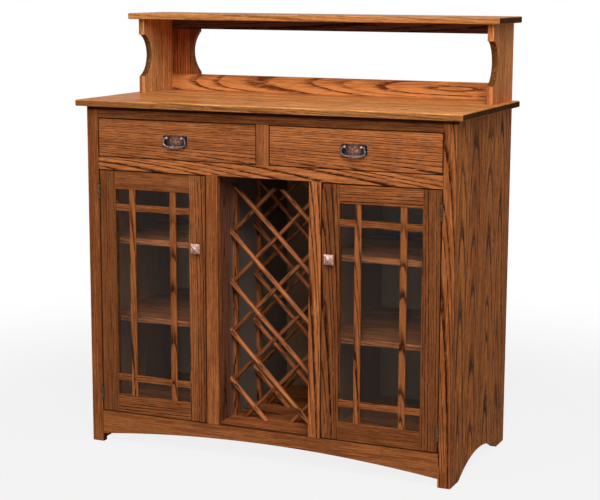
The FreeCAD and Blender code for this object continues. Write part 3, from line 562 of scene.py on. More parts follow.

# %% Panels, tops and hidden boards
# The side panel's top border is the painted shadow of the tabletop
SIDE_PANEL = dict(
    seed=31, pith=(0.03, 0.05), board_width=0.13, ring_spacing=0.009, lean=0.045, wander=0.03,
    line_strength=1.15, sheen=0.006, tone=1.24, streaks=0.6, flecks=0.7,
    shaded=dict(top=PAINTED_SHADOW_UNDER_TOP), **AMBER)
DIVIDER = dict(QUIET, seed=33, board_width=0.13, tone=1.1, **SHADED)
SUPPORT = dict(
    QUIET, seed=35, ring_spacing=0.009, sheen=0.006, tone=1.5, streaks=0.6, flecks=0.6)
BACK = dict(QUIET, seed=38, board_width=0.2, tone=0.9, streaks=0.0, flecks=0.15, **LIGHT)
TOP = dict(
    STRIPED, seed=41, board_width=0.11, line_strength=0.6, gloss=0.2, sheen=0.0004,
    streaks=0.25, flecks=0.5, **HONEY)
# High tones: painted reflection of the gloss left out; front edge border: painted shade
TABLETOP = dict(TOP, tone=1.75, border_shade=0.13, shaded=gaps("left", "right", front=-0.00052))
HUTCH_SHELF = dict(TOP, tone=1.4, border_shade=0.2, shaded=gaps("left", "right", front=-0.0009))
INNER_SHELF = dict(STRIPED, seed=45, board_width=0.2, tone=0.9)
OTHER_BOARDS = (
    ("z", "x", SIDE_PANEL, ("left_side_panel", "right_side_panel")),
    ("z", "x", DIVIDER, ("left_divider", "right_divider")),
    ("z", "x", dict(SUPPORT, **LIGHT), ("left_hutch_support",)),
    ("z", "x", dict(SUPPORT, **RUDDY), ("right_hutch_support",)),
    ("z", "y", dict(STRIPED, seed=37), ("hutch_corner_bracket",)),
    ("z", "y", BACK, ("back_panel",)),
    ("z", "y", dict(STRIPED, seed=39, board_width=0.03), ("lattice_battens",)),
    ("x", "z", TABLETOP, ("tabletop",)),
    ("x", "z", HUTCH_SHELF, ("hutch_shelf",)),
    ("x", "z", INNER_SHELF, ("case_floor", "drawer_deck", "left_shelves", "right_shelves")),
    ("x", "z", dict(QUIET, seed=47, board_width=0.3),
     ("left_drawer_bottom", "right_drawer_bottom")),
    ("y", "x", dict(QUIET, seed=51), ("left_drawer_sides", "right_drawer_sides")),
    ("y", "z", dict(QUIET, seed=52), ("drawer_guides", "drawer_kickers")),
)
for grain, face, settings, names in OTHER_BOARDS:
    for node in names:
        finish_board(node, grain, face, **settings)
oak_boards = [node for node in nodes if "oak_" + node in bpy.data.materials]
print("oak finishes:", len(oak_boards))


# %% [markdown]
# Inside tint
#
# The faces inside the cupboards, the front of the back panel and, from a depth on, the faces of
# the wine bay get a greyer, duller colour that hides most of the figure: painted shade, so they
# look like dark, even hollows. The two sides of a panel could be two materials, but a solid that
# comes with one slot is easier to finish with a mask: a share of the tint by place. The same
# mask lays a warm glaze on the outer face of the left hutch support.

# %% Inside tint
# Painted shade: greyer tints for the faces inside the cupboards, the back panel and the bay
CUPBOARD_SHADE_TINT = srgb(138, 102, 76)
BACK_SHADE_TINT = srgb(160, 138, 112)
BAY_SHADE_TINT = srgb(120, 114, 106)
WARM_GLAZE = srgb(255, 212, 176)
BAY_SHADE_TINT_START = -0.149
FADE_BEFORE = 0.01
FADE_AFTER = 0.03
TINT_COVER = 0.85


def base_colour(node):
    """The node tree of a board's oak, and the socket that its colour goes into."""
    tree = nodes[node].material_slots[0].material.node_tree
    shader = next(entry for entry in tree.nodes if entry.type == "BSDF_PRINCIPLED")
    return tree, shader.inputs["Base Color"]


def tint_half(node, axis, toward, colour, behind=None, cover=TINT_COVER, kind="MIX"):
    """Tint the half of a panel that looks down or up an axis, -1 or 1, all or from a depth on."""
    tree, base = base_colour(node)
    place = split(tree, object_coordinates(tree))
    offset = calc(tree, "SUBTRACT", place[axis], centre_of(node)["XYZ".index(axis)])
    share = calc(tree, "GREATER_THAN", calc(tree, "MULTIPLY", offset, toward), 0.0)
    if behind is not None:
        deep = remap(tree, place["Y"], behind - FADE_BEFORE, behind + FADE_AFTER)
        share = calc(tree, "MULTIPLY", share, deep)
    share = calc(tree, "MULTIPLY", share, cover)
    tree.links.new(blend_colours(tree, share, base.links[0].from_socket, colour, kind), base)


# Painted shade inside the cupboards, on the back panel and deep in the wine bay
for side, sign in (("left_", 1.0), ("right_", -1.0)):
    tint_half(side + "side_panel", "X", sign, CUPBOARD_SHADE_TINT)
    tint_half(side + "divider", "X", -sign, CUPBOARD_SHADE_TINT)
    tint_half(side + "divider", "X", sign, BAY_SHADE_TINT, behind=BAY_SHADE_TINT_START)
tint_half("back_panel", "Y", -1.0, BACK_SHADE_TINT)
tint_half("left_hutch_support", "X", -1.0, WARM_GLAZE, cover=1.0, kind="MULTIPLY")
print("inside coat on side panels, dividers and back panel")


# %% [markdown]
# Sawn curves
#
# The front edge of each hutch support is scooped out with a saw. The scoop cuts across the
# grain, and end grain drinks more stain, so it comes out dark; the darkening also paints the
# shade that falls in the hollow. A mask finds it: it lies behind the plain front edge, and it
# faces forward.

# %% Sawn curves of the hutch supports
CURVE_SHADE = 0.22
CURVE_START = (0.001, 0.004)
CURVE_TURN = (-0.1, -0.3)


def stain_and_shade_sawn_curve(node):
    """Darken the hollow sawn in a board's front edge: end grain stain and painted shade."""
    tree, base = base_colour(node)
    place = tree.nodes.new("ShaderNodeTexCoord").outputs
    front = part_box(node)[0].y
    depths = [front + depth for depth in CURVE_START]
    behind = remap(tree, split(tree, place["Object"])["Y"], *depths)
    forward = remap(tree, split(tree, place["Normal"])["Y"], *CURVE_TURN)
    hollow = calc(tree, "MULTIPLY", behind, forward)
    shade = calc(tree, "MULTIPLY_ADD", hollow, CURVE_SHADE - 1.0, 1.0)
    tree.links.new(scaled(tree, base.links[0].from_socket, shade), base)


for side in ("left_", "right_"):
    stain_and_shade_sawn_curve(side + "hutch_support")
print("sawn curves stained on both hutch supports")


# %% [markdown]
# Eased edges
#
# Sanding takes the sharpness off every edge, and the thin bright line that the light leaves
# there is what makes two boards read as two. The solids are loose triangles, so their
# corners are welded first. A narrow bevel then eases each true edge and leaves the flats.
# Frame boards are sanded flush where they meet, so they keep crisp edges; drawer fronts are
# eased more, and the two tops, which are leaned on, are rounded with a router.

# %% Ease the boards
EASED_WIDTH = 0.0008
FLUSH_WIDTH = 0.0004
GAP_WIDTH = 0.0014
TOP_ROUNDING = 0.0032
WELD_REACH = 0.00001
TRUE_EDGE = math.radians(35)


def ease(piece, width=EASED_WIDTH, steps=2):
    weld = piece.modifiers.new("weld", "WELD")
    weld.merge_threshold = WELD_REACH
    bevel = piece.modifiers.new("eased_edge", "BEVEL")
    bevel.width = width
    bevel.segments = steps
    bevel.limit_method = "ANGLE"
    bevel.angle_limit = TRUE_EDGE
    normals = piece.modifiers.new("flat_faces", "WEIGHTED_NORMAL")
    normals.keep_sharp = False


for node in oak_boards:
    if node in ("tabletop", "hutch_shelf"):
        ease(nodes[node], TOP_ROUNDING, 4)
    elif node.endswith("drawer_front"):
        ease(nodes[node], GAP_WIDTH, 3)
    elif node.endswith(("stile", "rail")):
        ease(nodes[node], FLUSH_WIDTH)
    else:
        ease(nodes[node])
print("eased", len(oak_boards), "nodes by up to", TOP_ROUNDING * 1000, "mm")


# %% [markdown]
# Glass
#
# Cabinet glass is plain float glass, so it gets clear transmission and almost no roughness.
# Its index is set below that of real glass, because the studio is white all round, and a
# full reflection of it would lie over the dark inside as a veil.

# %% Door glass
GLASS_TINT = (0.90, 0.93, 0.92, 1)
GLASS_HAZE = 0.03
GLASS_INDEX = 1.18


def clear_glass():
    material, tree, shader = open_material("clear_glass")
    haze = stretched_noise(tree, object_coordinates(tree), (6, 6, 6))
    tree.links.new(remap(tree, haze, 0.3, 0.7, 0.0, GLASS_HAZE), shader.inputs["Roughness"])
    shader.inputs["Base Color"].default_value = GLASS_TINT
    shader.inputs["Transmission Weight"].default_value = 1.0
    shader.inputs["IOR"].default_value = GLASS_INDEX
    return material


glass = clear_glass()
for node in ("left_door_glass", "right_door_glass"):
    dress(node, glass)
print("glass in both doors, index", GLASS_INDEX)


# %% [markdown]
# Building shapes
#
# The small parts below are shapes that a workshop makes in a few known ways: turned on a
# lathe, bent from rod, sawn from a plank, cast with a surface. Each helper gives the points
# and faces of one such shape, and a piece is a list of shapes made into one mesh.

# %% Shape helpers
MM = 0.001
CURVE_ANGLE = 35


def circle(centre, across, up, radius, sides):
    """Points round a circle, from across towards up."""
    points = []
    for step in range(sides):
        angle = 2 * math.pi * step / sides
        points.append(centre + (across * math.cos(angle) + up * math.sin(angle)) * radius)
    return points


def band(low, high):
    """The faces between two rings of point numbers. A ring may have shrunk to one point."""
    faces = []
    for step in range(len(low)):
        after = (step + 1) % len(low)
        corners = [low[step], low[after], high[after], high[step]]
        faces.append(list(dict.fromkeys(corners)))
    return faces


def turned(profile, start, axis, sides=24, hollow=False):
    """A lathe shape through (height, radius) pairs. A hollow one closes back on itself."""
    axis = Vector(axis)
    across = axis.orthogonal().normalized()
    up = axis.cross(across)
    points, faces, rings = [], [], []
    for height, radius in profile:
        centre = Vector(start) + axis * height
        first = len(points)
        if radius == 0:
            points.append(centre)
            rings.append([first] * sides)
        else:
            points += circle(centre, across, up, radius, sides)
            rings.append(list(range(first, first + sides)))
    for low, high in zip(rings, rings[1:]):
        faces += band(low, high)
    if hollow:
        faces += band(rings[-1], rings[0])
    else:
        faces += [ring for ring in (rings[0], rings[-1]) if ring[0] != ring[1]]
    return points, faces


def bent_rod(path, radii, normal, sides=16):
    """A round rod along a flat path. normal stands square to the plane of the path."""
    points = []
    normal = Vector(normal)
    last = len(path) - 1
    for index, centre in enumerate(path):
        ahead = path[min(index + 1, last)] - path[max(index - 1, 0)]
        sideways = ahead.normalized().cross(normal)
        points += circle(centre, normal, sideways, radii[index], sides)
    rings = [list(range(first, first + sides)) for first in range(0, len(points), sides)]
    faces = []
    for low, high in zip(rings, rings[1:]):
        faces += band(low, high)
    return points, faces + [rings[0], rings[-1]]


def sawn(outline, travel):
    """A plank shape: a flat outline pushed along travel."""
    points = [Vector(point) for point in outline]
    points += [point + Vector(travel) for point in points]
    near = list(range(len(outline)))
    far = [len(outline) + index for index in near]
    return points, [near, far] + band(near, far)


def block(low, high):
    (x0, y0, z0), (x1, y1, z1) = low, high
    base = [(x0, y0, z0), (x1, y0, z0), (x1, y1, z0), (x0, y1, z0)]
    return sawn(base, (0, 0, z1 - z0))


print("a block has", len(block((0, 0, 0), (1, 1, 1))[1]), "faces")

# %% From shapes to pieces
def make_mesh(name, shapes):
    """One closed mesh from a list of shapes, with every face turned outward."""
    points, faces = [], []
    for shape_points, shape_faces in shapes:
        first = len(points)
        points.extend(shape_points)
        faces.extend([[first + index for index in face] for face in shape_faces])
    mesh = bpy.data.meshes.new(name)
    mesh.from_pydata([tuple(point) for point in points], [], faces)
    work = bmesh.new()
    work.from_mesh(mesh)
    bmesh.ops.recalc_face_normals(work, faces=work.faces)
    work.to_mesh(mesh)
    work.free()
    return mesh


def smooth_curves(mesh, angle=CURVE_ANGLE):
    mesh.polygons.foreach_set("use_smooth", [True] * len(mesh.polygons))
    mesh.set_sharp_from_angle(angle=math.radians(angle))


def settle(name, mesh, material, body, slot, *replaced):
    """A finished piece on its body, standing for the plain solids that it replaces."""
    piece = bpy.data.objects.new(name, mesh)
    bpy.context.scene.collection.objects.link(piece)
    mesh.materials.clear()
    mesh.materials.append(material)
    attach(piece, body)
    if replaced:
        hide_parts(*replaced)
    return piece


SIDES = (("left", -1), ("right", 1))
print("pieces come in pairs:", SIDES[0][0], "and", SIDES[1][0])


# %% [markdown]
# Glazing bars
#
# The bars that divide each glass are sawn flat and half lapped: each upright loses its back
# half where a cross bar passes, and the cross bar loses its front half. They could be one
# fretwork piece, but a joiner cuts strips, and the grain has to run along each strip.

# %% Glazing bars
DOOR_FACE_Y = -0.249
SIGHT_NEAR_X = 0.2404
SIGHT_FAR_X = 0.4896
SIGHT_LOW = 0.1564
SIGHT_HIGH = 0.7956
BAR_WIDTH = 0.020
BAR_MARGIN = 0.046
BAR_FRONT_Y = DOOR_FACE_Y + 0.002
BAR_BACK_Y = DOOR_FACE_Y + 0.008
BAR_LAP_Y = (BAR_FRONT_Y + BAR_BACK_Y) / 2
BAR_EASING = 0.6 * MM
UPRIGHTS = (SIGHT_NEAR_X + BAR_MARGIN, SIGHT_FAR_X - BAR_MARGIN - BAR_WIDTH)
CROSSINGS = (SIGHT_LOW + BAR_MARGIN, SIGHT_HIGH - BAR_MARGIN - BAR_WIDTH)
BAR_OAK = dict(STRIPED, board_width=0.14, ring_spacing=0.006, tone=0.78)


def notched_bar(start, end, notches, plain_y, notched_y):
    """The edge-on outline of a bar: (place along it, y), with a notch at each crossing."""
    outline = [(start, plain_y), (end, plain_y), (end, notched_y)]
    for low in sorted(notches, reverse=True):
        high = low + BAR_WIDTH
        outline += [(high, notched_y), (high, BAR_LAP_Y), (low, BAR_LAP_Y), (low, notched_y)]
    outline.append((start, notched_y))
    return outline


def upright_bars(sign):
    outline = notched_bar(SIGHT_LOW, SIGHT_HIGH, CROSSINGS, BAR_FRONT_Y, BAR_BACK_Y)
    travel = (sign * BAR_WIDTH, 0, 0)
    return [sawn([(sign * x, y, z) for z, y in outline], travel) for x in UPRIGHTS]


def cross_bars(sign):
    outline = notched_bar(SIGHT_NEAR_X, SIGHT_FAR_X, UPRIGHTS, BAR_BACK_Y, BAR_FRONT_Y)
    travel = (0, 0, BAR_WIDTH)
    return [sawn([(sign * x, y, z) for x, y in outline], travel) for z in CROSSINGS]


def set_bars(name, shapes, grain, side, sign, *replaced):
    middle_x = sign * (SIGHT_NEAR_X + SIGHT_FAR_X) / 2
    centre = (middle_x, BAR_FRONT_Y, (SIGHT_LOW + SIGHT_HIGH) / 2)
    material = oak_finish("oak_" + name, centre, grain, "y", seed=60 + sign * 3, **BAR_OAK)
    bars = settle(name, make_mesh(name, shapes), material, side + "_door", "oak_case", *replaced)
    ease(bars, BAR_EASING)


for side, sign in SIDES:
    node = side + "_door_glazing_bars"
    set_bars(side + "_door_upright_bars", upright_bars(sign), "z", side, sign, node)
    set_bars(side + "_door_cross_bars", cross_bars(sign), "x", side, sign)
print("glazing bars:", len(UPRIGHTS), "upright and", len(CROSSINGS), "cross bars on each door")


# %% [markdown]
# Bottle lattice
#
# Two sets of rounded strips cross in front of one another and make square cells that hold
# the bottles. Every bar follows one rule: it lies on a slanting line, one pitch below the
# last, and is trimmed where that line meets the walls, the floor or the top line. So the
# rule is written once as a node tree, and the four sets of bars are four runs of it. The
# trimming slides each corner of a bar's end back along the bar until it is in the opening.

# %% Geometry trees
def open_nodes(name, inputs):
    """An empty geometry tree: a shape, named inputs (name, kind, default) and a material."""
    tree = bpy.data.node_groups.new(name, "GeometryNodeTree")
    tree.interface.new_socket("Geometry", in_out="INPUT", socket_type="NodeSocketGeometry")
    for label, kind, default in inputs:
        socket = tree.interface.new_socket(label, in_out="INPUT", socket_type="NodeSocket" + kind)
        socket.default_value = default
    tree.interface.new_socket("Material", in_out="INPUT", socket_type="NodeSocketMaterial")
    tree.interface.new_socket("Geometry", in_out="OUTPUT", socket_type="NodeSocketGeometry")
    enter = tree.nodes.new("NodeGroupInput")
    leave = tree.nodes.new("NodeGroupOutput")
    return tree, enter.outputs, leave.inputs


def close_nodes(tree, shape, given, result):
    """The end of every geometry tree: its copies made real, and their material set."""
    whole = add(tree, "GeometryNodeRealizeInstances", {"Geometry": shape}).outputs[0]
    dressed = add(tree, "GeometryNodeSetMaterial", {
        "Geometry": whole, "Material": given["Material"],
    })
    tree.links.new(dressed.outputs[0], result["Geometry"])
    return tree


def grow(name, tree, start=None, **values):
    """The plain mesh that a geometry tree makes, from a starting mesh if it needs one."""
    carrier = bpy.data.objects.new(name + "_start", start or bpy.data.meshes.new(name + "_start"))
    bpy.context.scene.collection.objects.link(carrier)
    modifier = carrier.modifiers.new("rule", "NODES")
    modifier.node_group = tree
    for entry in tree.interface.items_tree:
        label = entry.name.replace(" ", "_").lower()
        if entry.in_out == "INPUT" and label in values:
            modifier[entry.identifier] = values[label]
    drawn = carrier.evaluated_get(bpy.context.evaluated_depsgraph_get())
    mesh = bpy.data.meshes.new_from_object(drawn)
    mesh.name = name
    carrier.modifiers.remove(modifier)
    bpy.data.objects.remove(carrier)
    return mesh


print("geometry trees ready")

# %% The rule of the lattice
EASED_BACK = 0.0006
CORNER_STEPS = 4


def drawn_lines(tree, given, wall):
    """One line for each bar, from end to end and a little too long at both."""
    seeds = add(tree, "GeometryNodePoints", {"Count": given["Count"]})
    dots = add(tree, "GeometryNodePointsToVertices", {"Points": seeds.outputs[0]})
    index = tree.nodes.new("GeometryNodeInputIndex").outputs[0]
    drop = calc(tree, "MULTIPLY", index, given["Pitch"])
    level = calc(tree, "SUBTRACT", given["Top Level"], drop)
    near = calc(tree, "MAXIMUM", wall, calc(tree, "SUBTRACT", level, given["Top"]))
    to_floor = calc(tree, "SUBTRACT", level, given["Floor"])
    far = calc(tree, "MINIMUM", given["Reach"], to_floor)
    start = calc(tree, "SUBTRACT", near, given["Width"])
    spare = calc(tree, "MULTIPLY", given["Width"], 2.0)
    run = calc(tree, "ADD", calc(tree, "SUBTRACT", far, near), spare)
    place = combine(tree, calc(tree, "MULTIPLY", given["Lean"], start), given["Middle Y"],
                    calc(tree, "SUBTRACT", level, start))
    placed = add(tree, "GeometryNodeSetPosition", {"Geometry": dots.outputs[0], "Position": place})
    travel = combine(tree, x=calc(tree, "MULTIPLY", given["Lean"], run),
                     z=calc(tree, "MULTIPLY", run, -1.0))
    lines = add(tree, "GeometryNodeExtrudeMesh", {
        "Mesh": placed.outputs[0], "Offset": travel,
    }, mode="VERTICES")
    curves = add(tree, "GeometryNodeMeshToCurve", {"Mesh": lines.outputs[0]})
    upright = add(tree, "GeometryNodeSetCurveNormal", {"Curve": curves.outputs[0]}, mode="Z_UP")
    return upright.outputs[0]


def bar_section(tree, given, position):
    """A strip whose two front edges are well rounded and whose back ones are eased."""
    strip = add(tree, "GeometryNodeCurvePrimitiveQuadrilateral", {
        "Width": given["Thickness"], "Height": given["Width"],
    })
    toward_front = calc(tree, "MULTIPLY", split(tree, position)["X"], given["Lean"])
    is_front = calc(tree, "GREATER_THAN", toward_front, 0.0)
    more = calc(tree, "SUBTRACT", given["Round"], EASED_BACK)
    radius = calc(tree, "MULTIPLY_ADD", is_front, more, EASED_BACK)
    return add(tree, "GeometryNodeFilletCurve", {
        "Curve": strip.outputs[0], "Count": CORNER_STEPS, "Radius": radius, "Limit Radius": True,
    }, mode="POLY").outputs[0]


def trim_shift(tree, given, wall, position):
    """How far each point slides back along its bar to be clear of walls, top line and floor."""
    x, _, z = split(tree, position)
    along = calc(tree, "MULTIPLY", x, given["Lean"])
    past_wall = calc(tree, "SUBTRACT", wall, along)
    past_top = calc(tree, "SUBTRACT", z, given["Top"])
    past_start = calc(tree, "MAXIMUM", calc(tree, "MAXIMUM", past_wall, past_top), 0.0)
    past_reach = calc(tree, "SUBTRACT", along, given["Reach"])
    past_floor = calc(tree, "SUBTRACT", given["Floor"], z)
    past_end = calc(tree, "MAXIMUM", calc(tree, "MAXIMUM", past_reach, past_floor), 0.0)
    slide = calc(tree, "SUBTRACT", past_start, past_end)
    return combine(tree, x=calc(tree, "MULTIPLY", slide, given["Lean"]),
                   z=calc(tree, "MULTIPLY", slide, -1.0))


def make_lattice_rule():
    tree, given, result = open_nodes("Bottle lattice", [
        ("Count", "Int", 6),
        ("Pitch", "Float", 0.1525),
        ("Top Level", "Float", 0.823),
        ("Reach", "Float", 0.1555),
        ("Top", "Float", 0.809),
        ("Floor", "Float", 0.1),
        ("Lean", "Float", 1.0),
        ("Middle Y", "Float", 0.0),
        ("Width", "Float", 0.0127),
        ("Thickness", "Float", 0.01),
        ("Round", "Float", 0.005),
    ])
    wall = calc(tree, "MULTIPLY", given["Reach"], -1.0)
    position = tree.nodes.new("GeometryNodeInputPosition").outputs[0]
    bars = add(tree, "GeometryNodeCurveToMesh", {
        "Curve": drawn_lines(tree, given, wall),
        "Profile Curve": bar_section(tree, given, position),
        "Fill Caps": True,
    })
    trimmed = add(tree, "GeometryNodeSetPosition", {
        "Geometry": bars.outputs[0], "Offset": trim_shift(tree, given, wall, position),
    })
    return close_nodes(tree, trimmed.outputs[0], given, result)


lattice_rule = make_lattice_rule()
print("the lattice rule takes", len(lattice_rule.interface.items_tree) - 2, "inputs")

# %% Bottle lattice
LATTICE_FRONTS = {"front": DOOR_FACE_Y + 0.100, "rear": DOOR_FACE_Y + 0.265}
LATTICE_LEVEL = 0.823
BAR_THICKNESS = 0.010
LATTICE_OAK = dict(STRIPED, board_width=0.0539, ring_spacing=0.006, gloss=0.3, sheen=0.15)
# The falling bars' higher tone is painted highlight, the rising bars' lower one painted shade
LATTICE_LAYERS = (("falling", 1, 0, 1.15), ("rising", -1, 1, 0.65))
for row, front_y in LATTICE_FRONTS.items():
    for word, lean, layer, tone in LATTICE_LAYERS:
        middle_y = front_y + (layer + 0.5) * BAR_THICKNESS
        name = row + "_" + word + "_bars"
        centre, grain = (0, middle_y, LATTICE_LEVEL), (lean, 0, -1)
        oak = dict(LATTICE_OAK, seed=70 + layer, tone=tone)
        material = oak_finish("oak_" + name, centre, grain, "y", **oak)
        mesh = grow(name, lattice_rule, lean=float(lean), middle_y=middle_y, material=material)
        smooth_curves(mesh)
        replaced = [row + "_lattice"] if word == "falling" else []
        settle(name, mesh, material, "carcass", "oak_inside", *replaced)
        print(name, len(mesh.vertices), "points")


# %% [markdown]
# Aged metal
#
# The pulls and knobs are copper that was darkened with a chemical bath and then rubbed: it
# stays dark in the hollows and comes up bright where hands touch it. The hinges are bronze
# treated the same way and hardly rubbed. So one recipe serves all: a dark colour, a bright
# colour and a mask between them that follows a wear value painted on the piece.

# %% The aged metal figure
METAL_BUMP = 0.2
METAL_PITS = 0.0002
COARSENESS = 0.3
BROAD_PATCHES = 1.2
FINE_PATCHES = 0.5
LOW_EDGES = (0.1, 0.45)
HIGH_EDGES = (0.5, 0.85)
POLISH = (0.1, 0.9, 0.55, 0.3)


def make_aged_metal():
    tree, given, result = open_group("Aged metal", [
        ("Vector", "Vector", VECTOR_ZERO),
        ("Wear", "Float", 0.5),
        ("Bright", "Color", (0.8, 0.5, 0.4, 1)),
        ("Middle", "Color", (0.4, 0.25, 0.2, 1)),
        ("Dark", "Color", (0.05, 0.05, 0.05, 1)),
        ("Grain", "Float", 700.0),
    ], [("Color", "Color"), ("Roughness", "Float"), ("Height", "Float")])
    coarse = calc(tree, "MULTIPLY", given["Grain"], COARSENESS)
    broad = add(tree, "ShaderNodeTexNoise", {
        "Vector": given["Vector"], "Scale": coarse, "Detail": 3.0,
    }).outputs["Fac"]
    fine = add(tree, "ShaderNodeTexNoise", {
        "Vector": given["Vector"], "Scale": given["Grain"], "Detail": 4.0, "Roughness": 0.6,
    }).outputs["Fac"]
    rubbed = given["Wear"]
    for noise, strength in ((broad, BROAD_PATCHES), (fine, FINE_PATCHES)):
        rubbed = calc(tree, "MULTIPLY_ADD", calc(tree, "SUBTRACT", noise, 0.5), strength, rubbed)
    first = blend_colours(tree, remap(tree, rubbed, *LOW_EDGES), given["Dark"], given["Middle"])
    colour = blend_colours(tree, remap(tree, rubbed, *HIGH_EDGES), first, given["Bright"])
    tree.links.new(colour, result["Color"])
    tree.links.new(remap(tree, rubbed, *POLISH), result["Roughness"])
    tree.links.new(fine, result["Height"])
    return tree


aged_metal = make_aged_metal()
print("aged metal:", len(aged_metal.nodes), "nodes")

# %% Copper, bronze and steel
def metal_finish(name, bright, middle, dark, wear=None, metallic=1.0, grain=700.0):
    """A metal. wear is one value for all of it, or None where the piece carries its own."""
    material, tree, shader = open_material(name)
    metal = add(tree, "ShaderNodeGroup", node_tree=aged_metal)
    tree.links.new(object_coordinates(tree), metal.inputs["Vector"])
    for label, value in (("Bright", bright), ("Middle", middle), ("Dark", dark)):
        metal.inputs[label].default_value = srgb(*value)
    metal.inputs["Grain"].default_value = grain
    if wear is None:
        painted = add(tree, "ShaderNodeAttribute", attribute_name="wear")
        tree.links.new(painted.outputs["Fac"], metal.inputs["Wear"])
    else:
        metal.inputs["Wear"].default_value = wear
    bump = add(tree, "ShaderNodeBump", {
        "Height": metal.outputs["Height"], "Strength": METAL_BUMP, "Distance": METAL_PITS,
    })
    tree.links.new(metal.outputs["Color"], shader.inputs["Base Color"])
    tree.links.new(metal.outputs["Roughness"], shader.inputs["Roughness"])
    tree.links.new(bump.outputs["Normal"], shader.inputs["Normal"])
    shader.inputs["Metallic"].default_value = metallic
    return material


rubbed_copper = metal_finish(
    "rubbed_copper", (240, 200, 186), (168, 126, 112), (60, 48, 46), metallic=0.45)
dented_copper = metal_finish(
    "dented_copper", (206, 150, 124), (92, 62, 54), (28, 30, 36), metallic=0.75, grain=1100.0)
handled_copper = metal_finish(
    "handled_copper", (158, 138, 136), (100, 86, 86), (32, 30, 34), wear=0.56)
dark_bronze = metal_finish(
    "dark_bronze", (164, 142, 112), (104, 88, 70), (42, 36, 32), wear=0.32)
bright_steel = metal_finish(
    "bright_steel", (200, 198, 192), (160, 158, 152), (96, 92, 88), wear=0.8)


def paint_wear(mesh, wear_at):
    """Store how far each point of a mesh is rubbed, from 0, dark, to 1, bright."""
    layer = mesh.attributes.new("wear", "FLOAT", "POINT")
    layer.data.foreach_set("value", [wear_at(point.co) for point in mesh.vertices])


print("aged metal finishes: rubbed, dented and handled copper, bronze, steel")


# %% [markdown]
# Hammered faces
#
# The copper was planished: a domed hammer leaves a field of shallow round hollows. Each dent
# could be modelled, but a tree of nodes presses them all: every point of the face moves in
# along its normal, deepest at the middle of each cell of a scattered pattern.

# %% Hammer
EDGE_OF_DENT = 0.75
DENT_SOFTNESS = 0.25


def make_hammer_rule():
    tree, given, result = open_nodes("Hammered", [
        ("Cells", "Float", 260.0),
        ("Depth", "Float", 0.0003),
        ("Seed", "Float", 0.0),
    ])
    position = tree.nodes.new("GeometryNodeInputPosition").outputs[0]
    normal = tree.nodes.new("GeometryNodeInputNormal").outputs[0]
    cells = add(tree, "ShaderNodeTexVoronoi", {
        "Vector": position, "W": given["Seed"], "Scale": given["Cells"],
        "Smoothness": DENT_SOFTNESS,
    }, voronoi_dimensions="4D", feature="SMOOTH_F1")
    hollow = remap(tree, cells.outputs["Distance"], 0.0, EDGE_OF_DENT, -1.0, 0.0)
    painted = add(tree, "GeometryNodeInputNamedAttribute", {"Name": "hammer"}, data_type="FLOAT")
    deepest = calc(tree, "MULTIPLY", hollow, given["Depth"])
    push = calc(tree, "MULTIPLY", deepest, painted.outputs[0])
    dented = add(tree, "GeometryNodeSetPosition", {
        "Geometry": given["Geometry"], "Offset": scaled(tree, normal, push),
    })
    return close_nodes(tree, dented.outputs[0], given, result)


hammer_rule = make_hammer_rule()


def hammer(mesh, hammer_at, **settings):
    """Press dents into a mesh where hammer_at says, from 0, none, to 1, full depth."""
    layer = mesh.attributes.new("hammer", "FLOAT", "POINT")
    layer.data.foreach_set("value", [hammer_at(point.co) for point in mesh.vertices])
    return grow(mesh.name, hammer_rule, start=mesh, **settings)


print("hammer ready")

# %% Relief plates
def relief(columns, rows, place, back):
    """A plate made of a grid: place(u, v) gives its front points and back(u, v) its back ones."""
    points, faces = [], []
    for surface in (place, back):
        for row in range(rows + 1):
            for column in range(columns + 1):
                points.append(surface(2 * column / columns - 1, 2 * row / rows - 1))
    width = columns + 1
    behind = width * (rows + 1)
    for row in range(rows):
        for column in range(columns):
            corner = row * width + column
            front = [corner, corner + 1, corner + width + 1, corner + width]
            faces.append(front)
            faces.append([behind + index for index in reversed(front)])
    edge = list(range(width))
    edge += [row * width + columns for row in range(1, rows + 1)]
    edge += [rows * width + column for column in reversed(range(columns))]
    edge += [row * width for row in reversed(range(1, rows))]
    for first, second in zip(edge, edge[1:] + edge[:1]):
        faces.append([first, behind + first, behind + second, second])
    return points, faces


print("relief plates ready")


# %% [markdown]
# Knobs
#
# Each door has a square knob: a low pyramid, hammered on its four faces, on a turned neck.
# The ridges between the faces are rubbed bright, and the lower faces, less worn and darker,
# are painted shade. Folding a grid over a pyramid keeps the points evenly spread, so the
# hammer has something to press everywhere.

# %% Knobs
KNOB_X = 0.2134
KNOB_Z = 0.633
KNOB_HALF = 0.0145
KNOB_NECK = 0.011
KNOB_RIM = 0.003
KNOB_CREST = 0.008
KNOB_GRID = 40
RIDGE_SHARPNESS = 16
LOWER_FACE_SHADE_WEAR = 0.36
FACE_WEAR = 0.54
RIDGE_WEAR = 0.16
RIDGE_FADE = 7
EDGE_START = 0.9
EDGE_FADE = 5
LOWER_FACE_SLOPE = 0.8
KNOB_DENTS = dict(cells=230.0, depth=0.0002)
KNOB_SHARPNESS = 28
NECK_CURVE = (
    (0, 8.5), (0.8, 8.5), (2, 7), (4, 5.8), (6, 5.5), (8, 5.9), (9.8, 7.2), (10.8, 8.5),
    (11.2, 8.5),
)


def pyramid_height(u, v):
    """How far a pyramid with slightly rubbed ridges stands out at (u, v), from 0 to 1."""
    level = (abs(u) ** RIDGE_SHARPNESS + abs(v) ** RIDGE_SHARPNESS) ** (1 / RIDGE_SHARPNESS)
    return 1 - min(1.0, level)


def is_knob_face(point):
    return float(point.y < DOOR_FACE_Y - KNOB_NECK - KNOB_RIM)


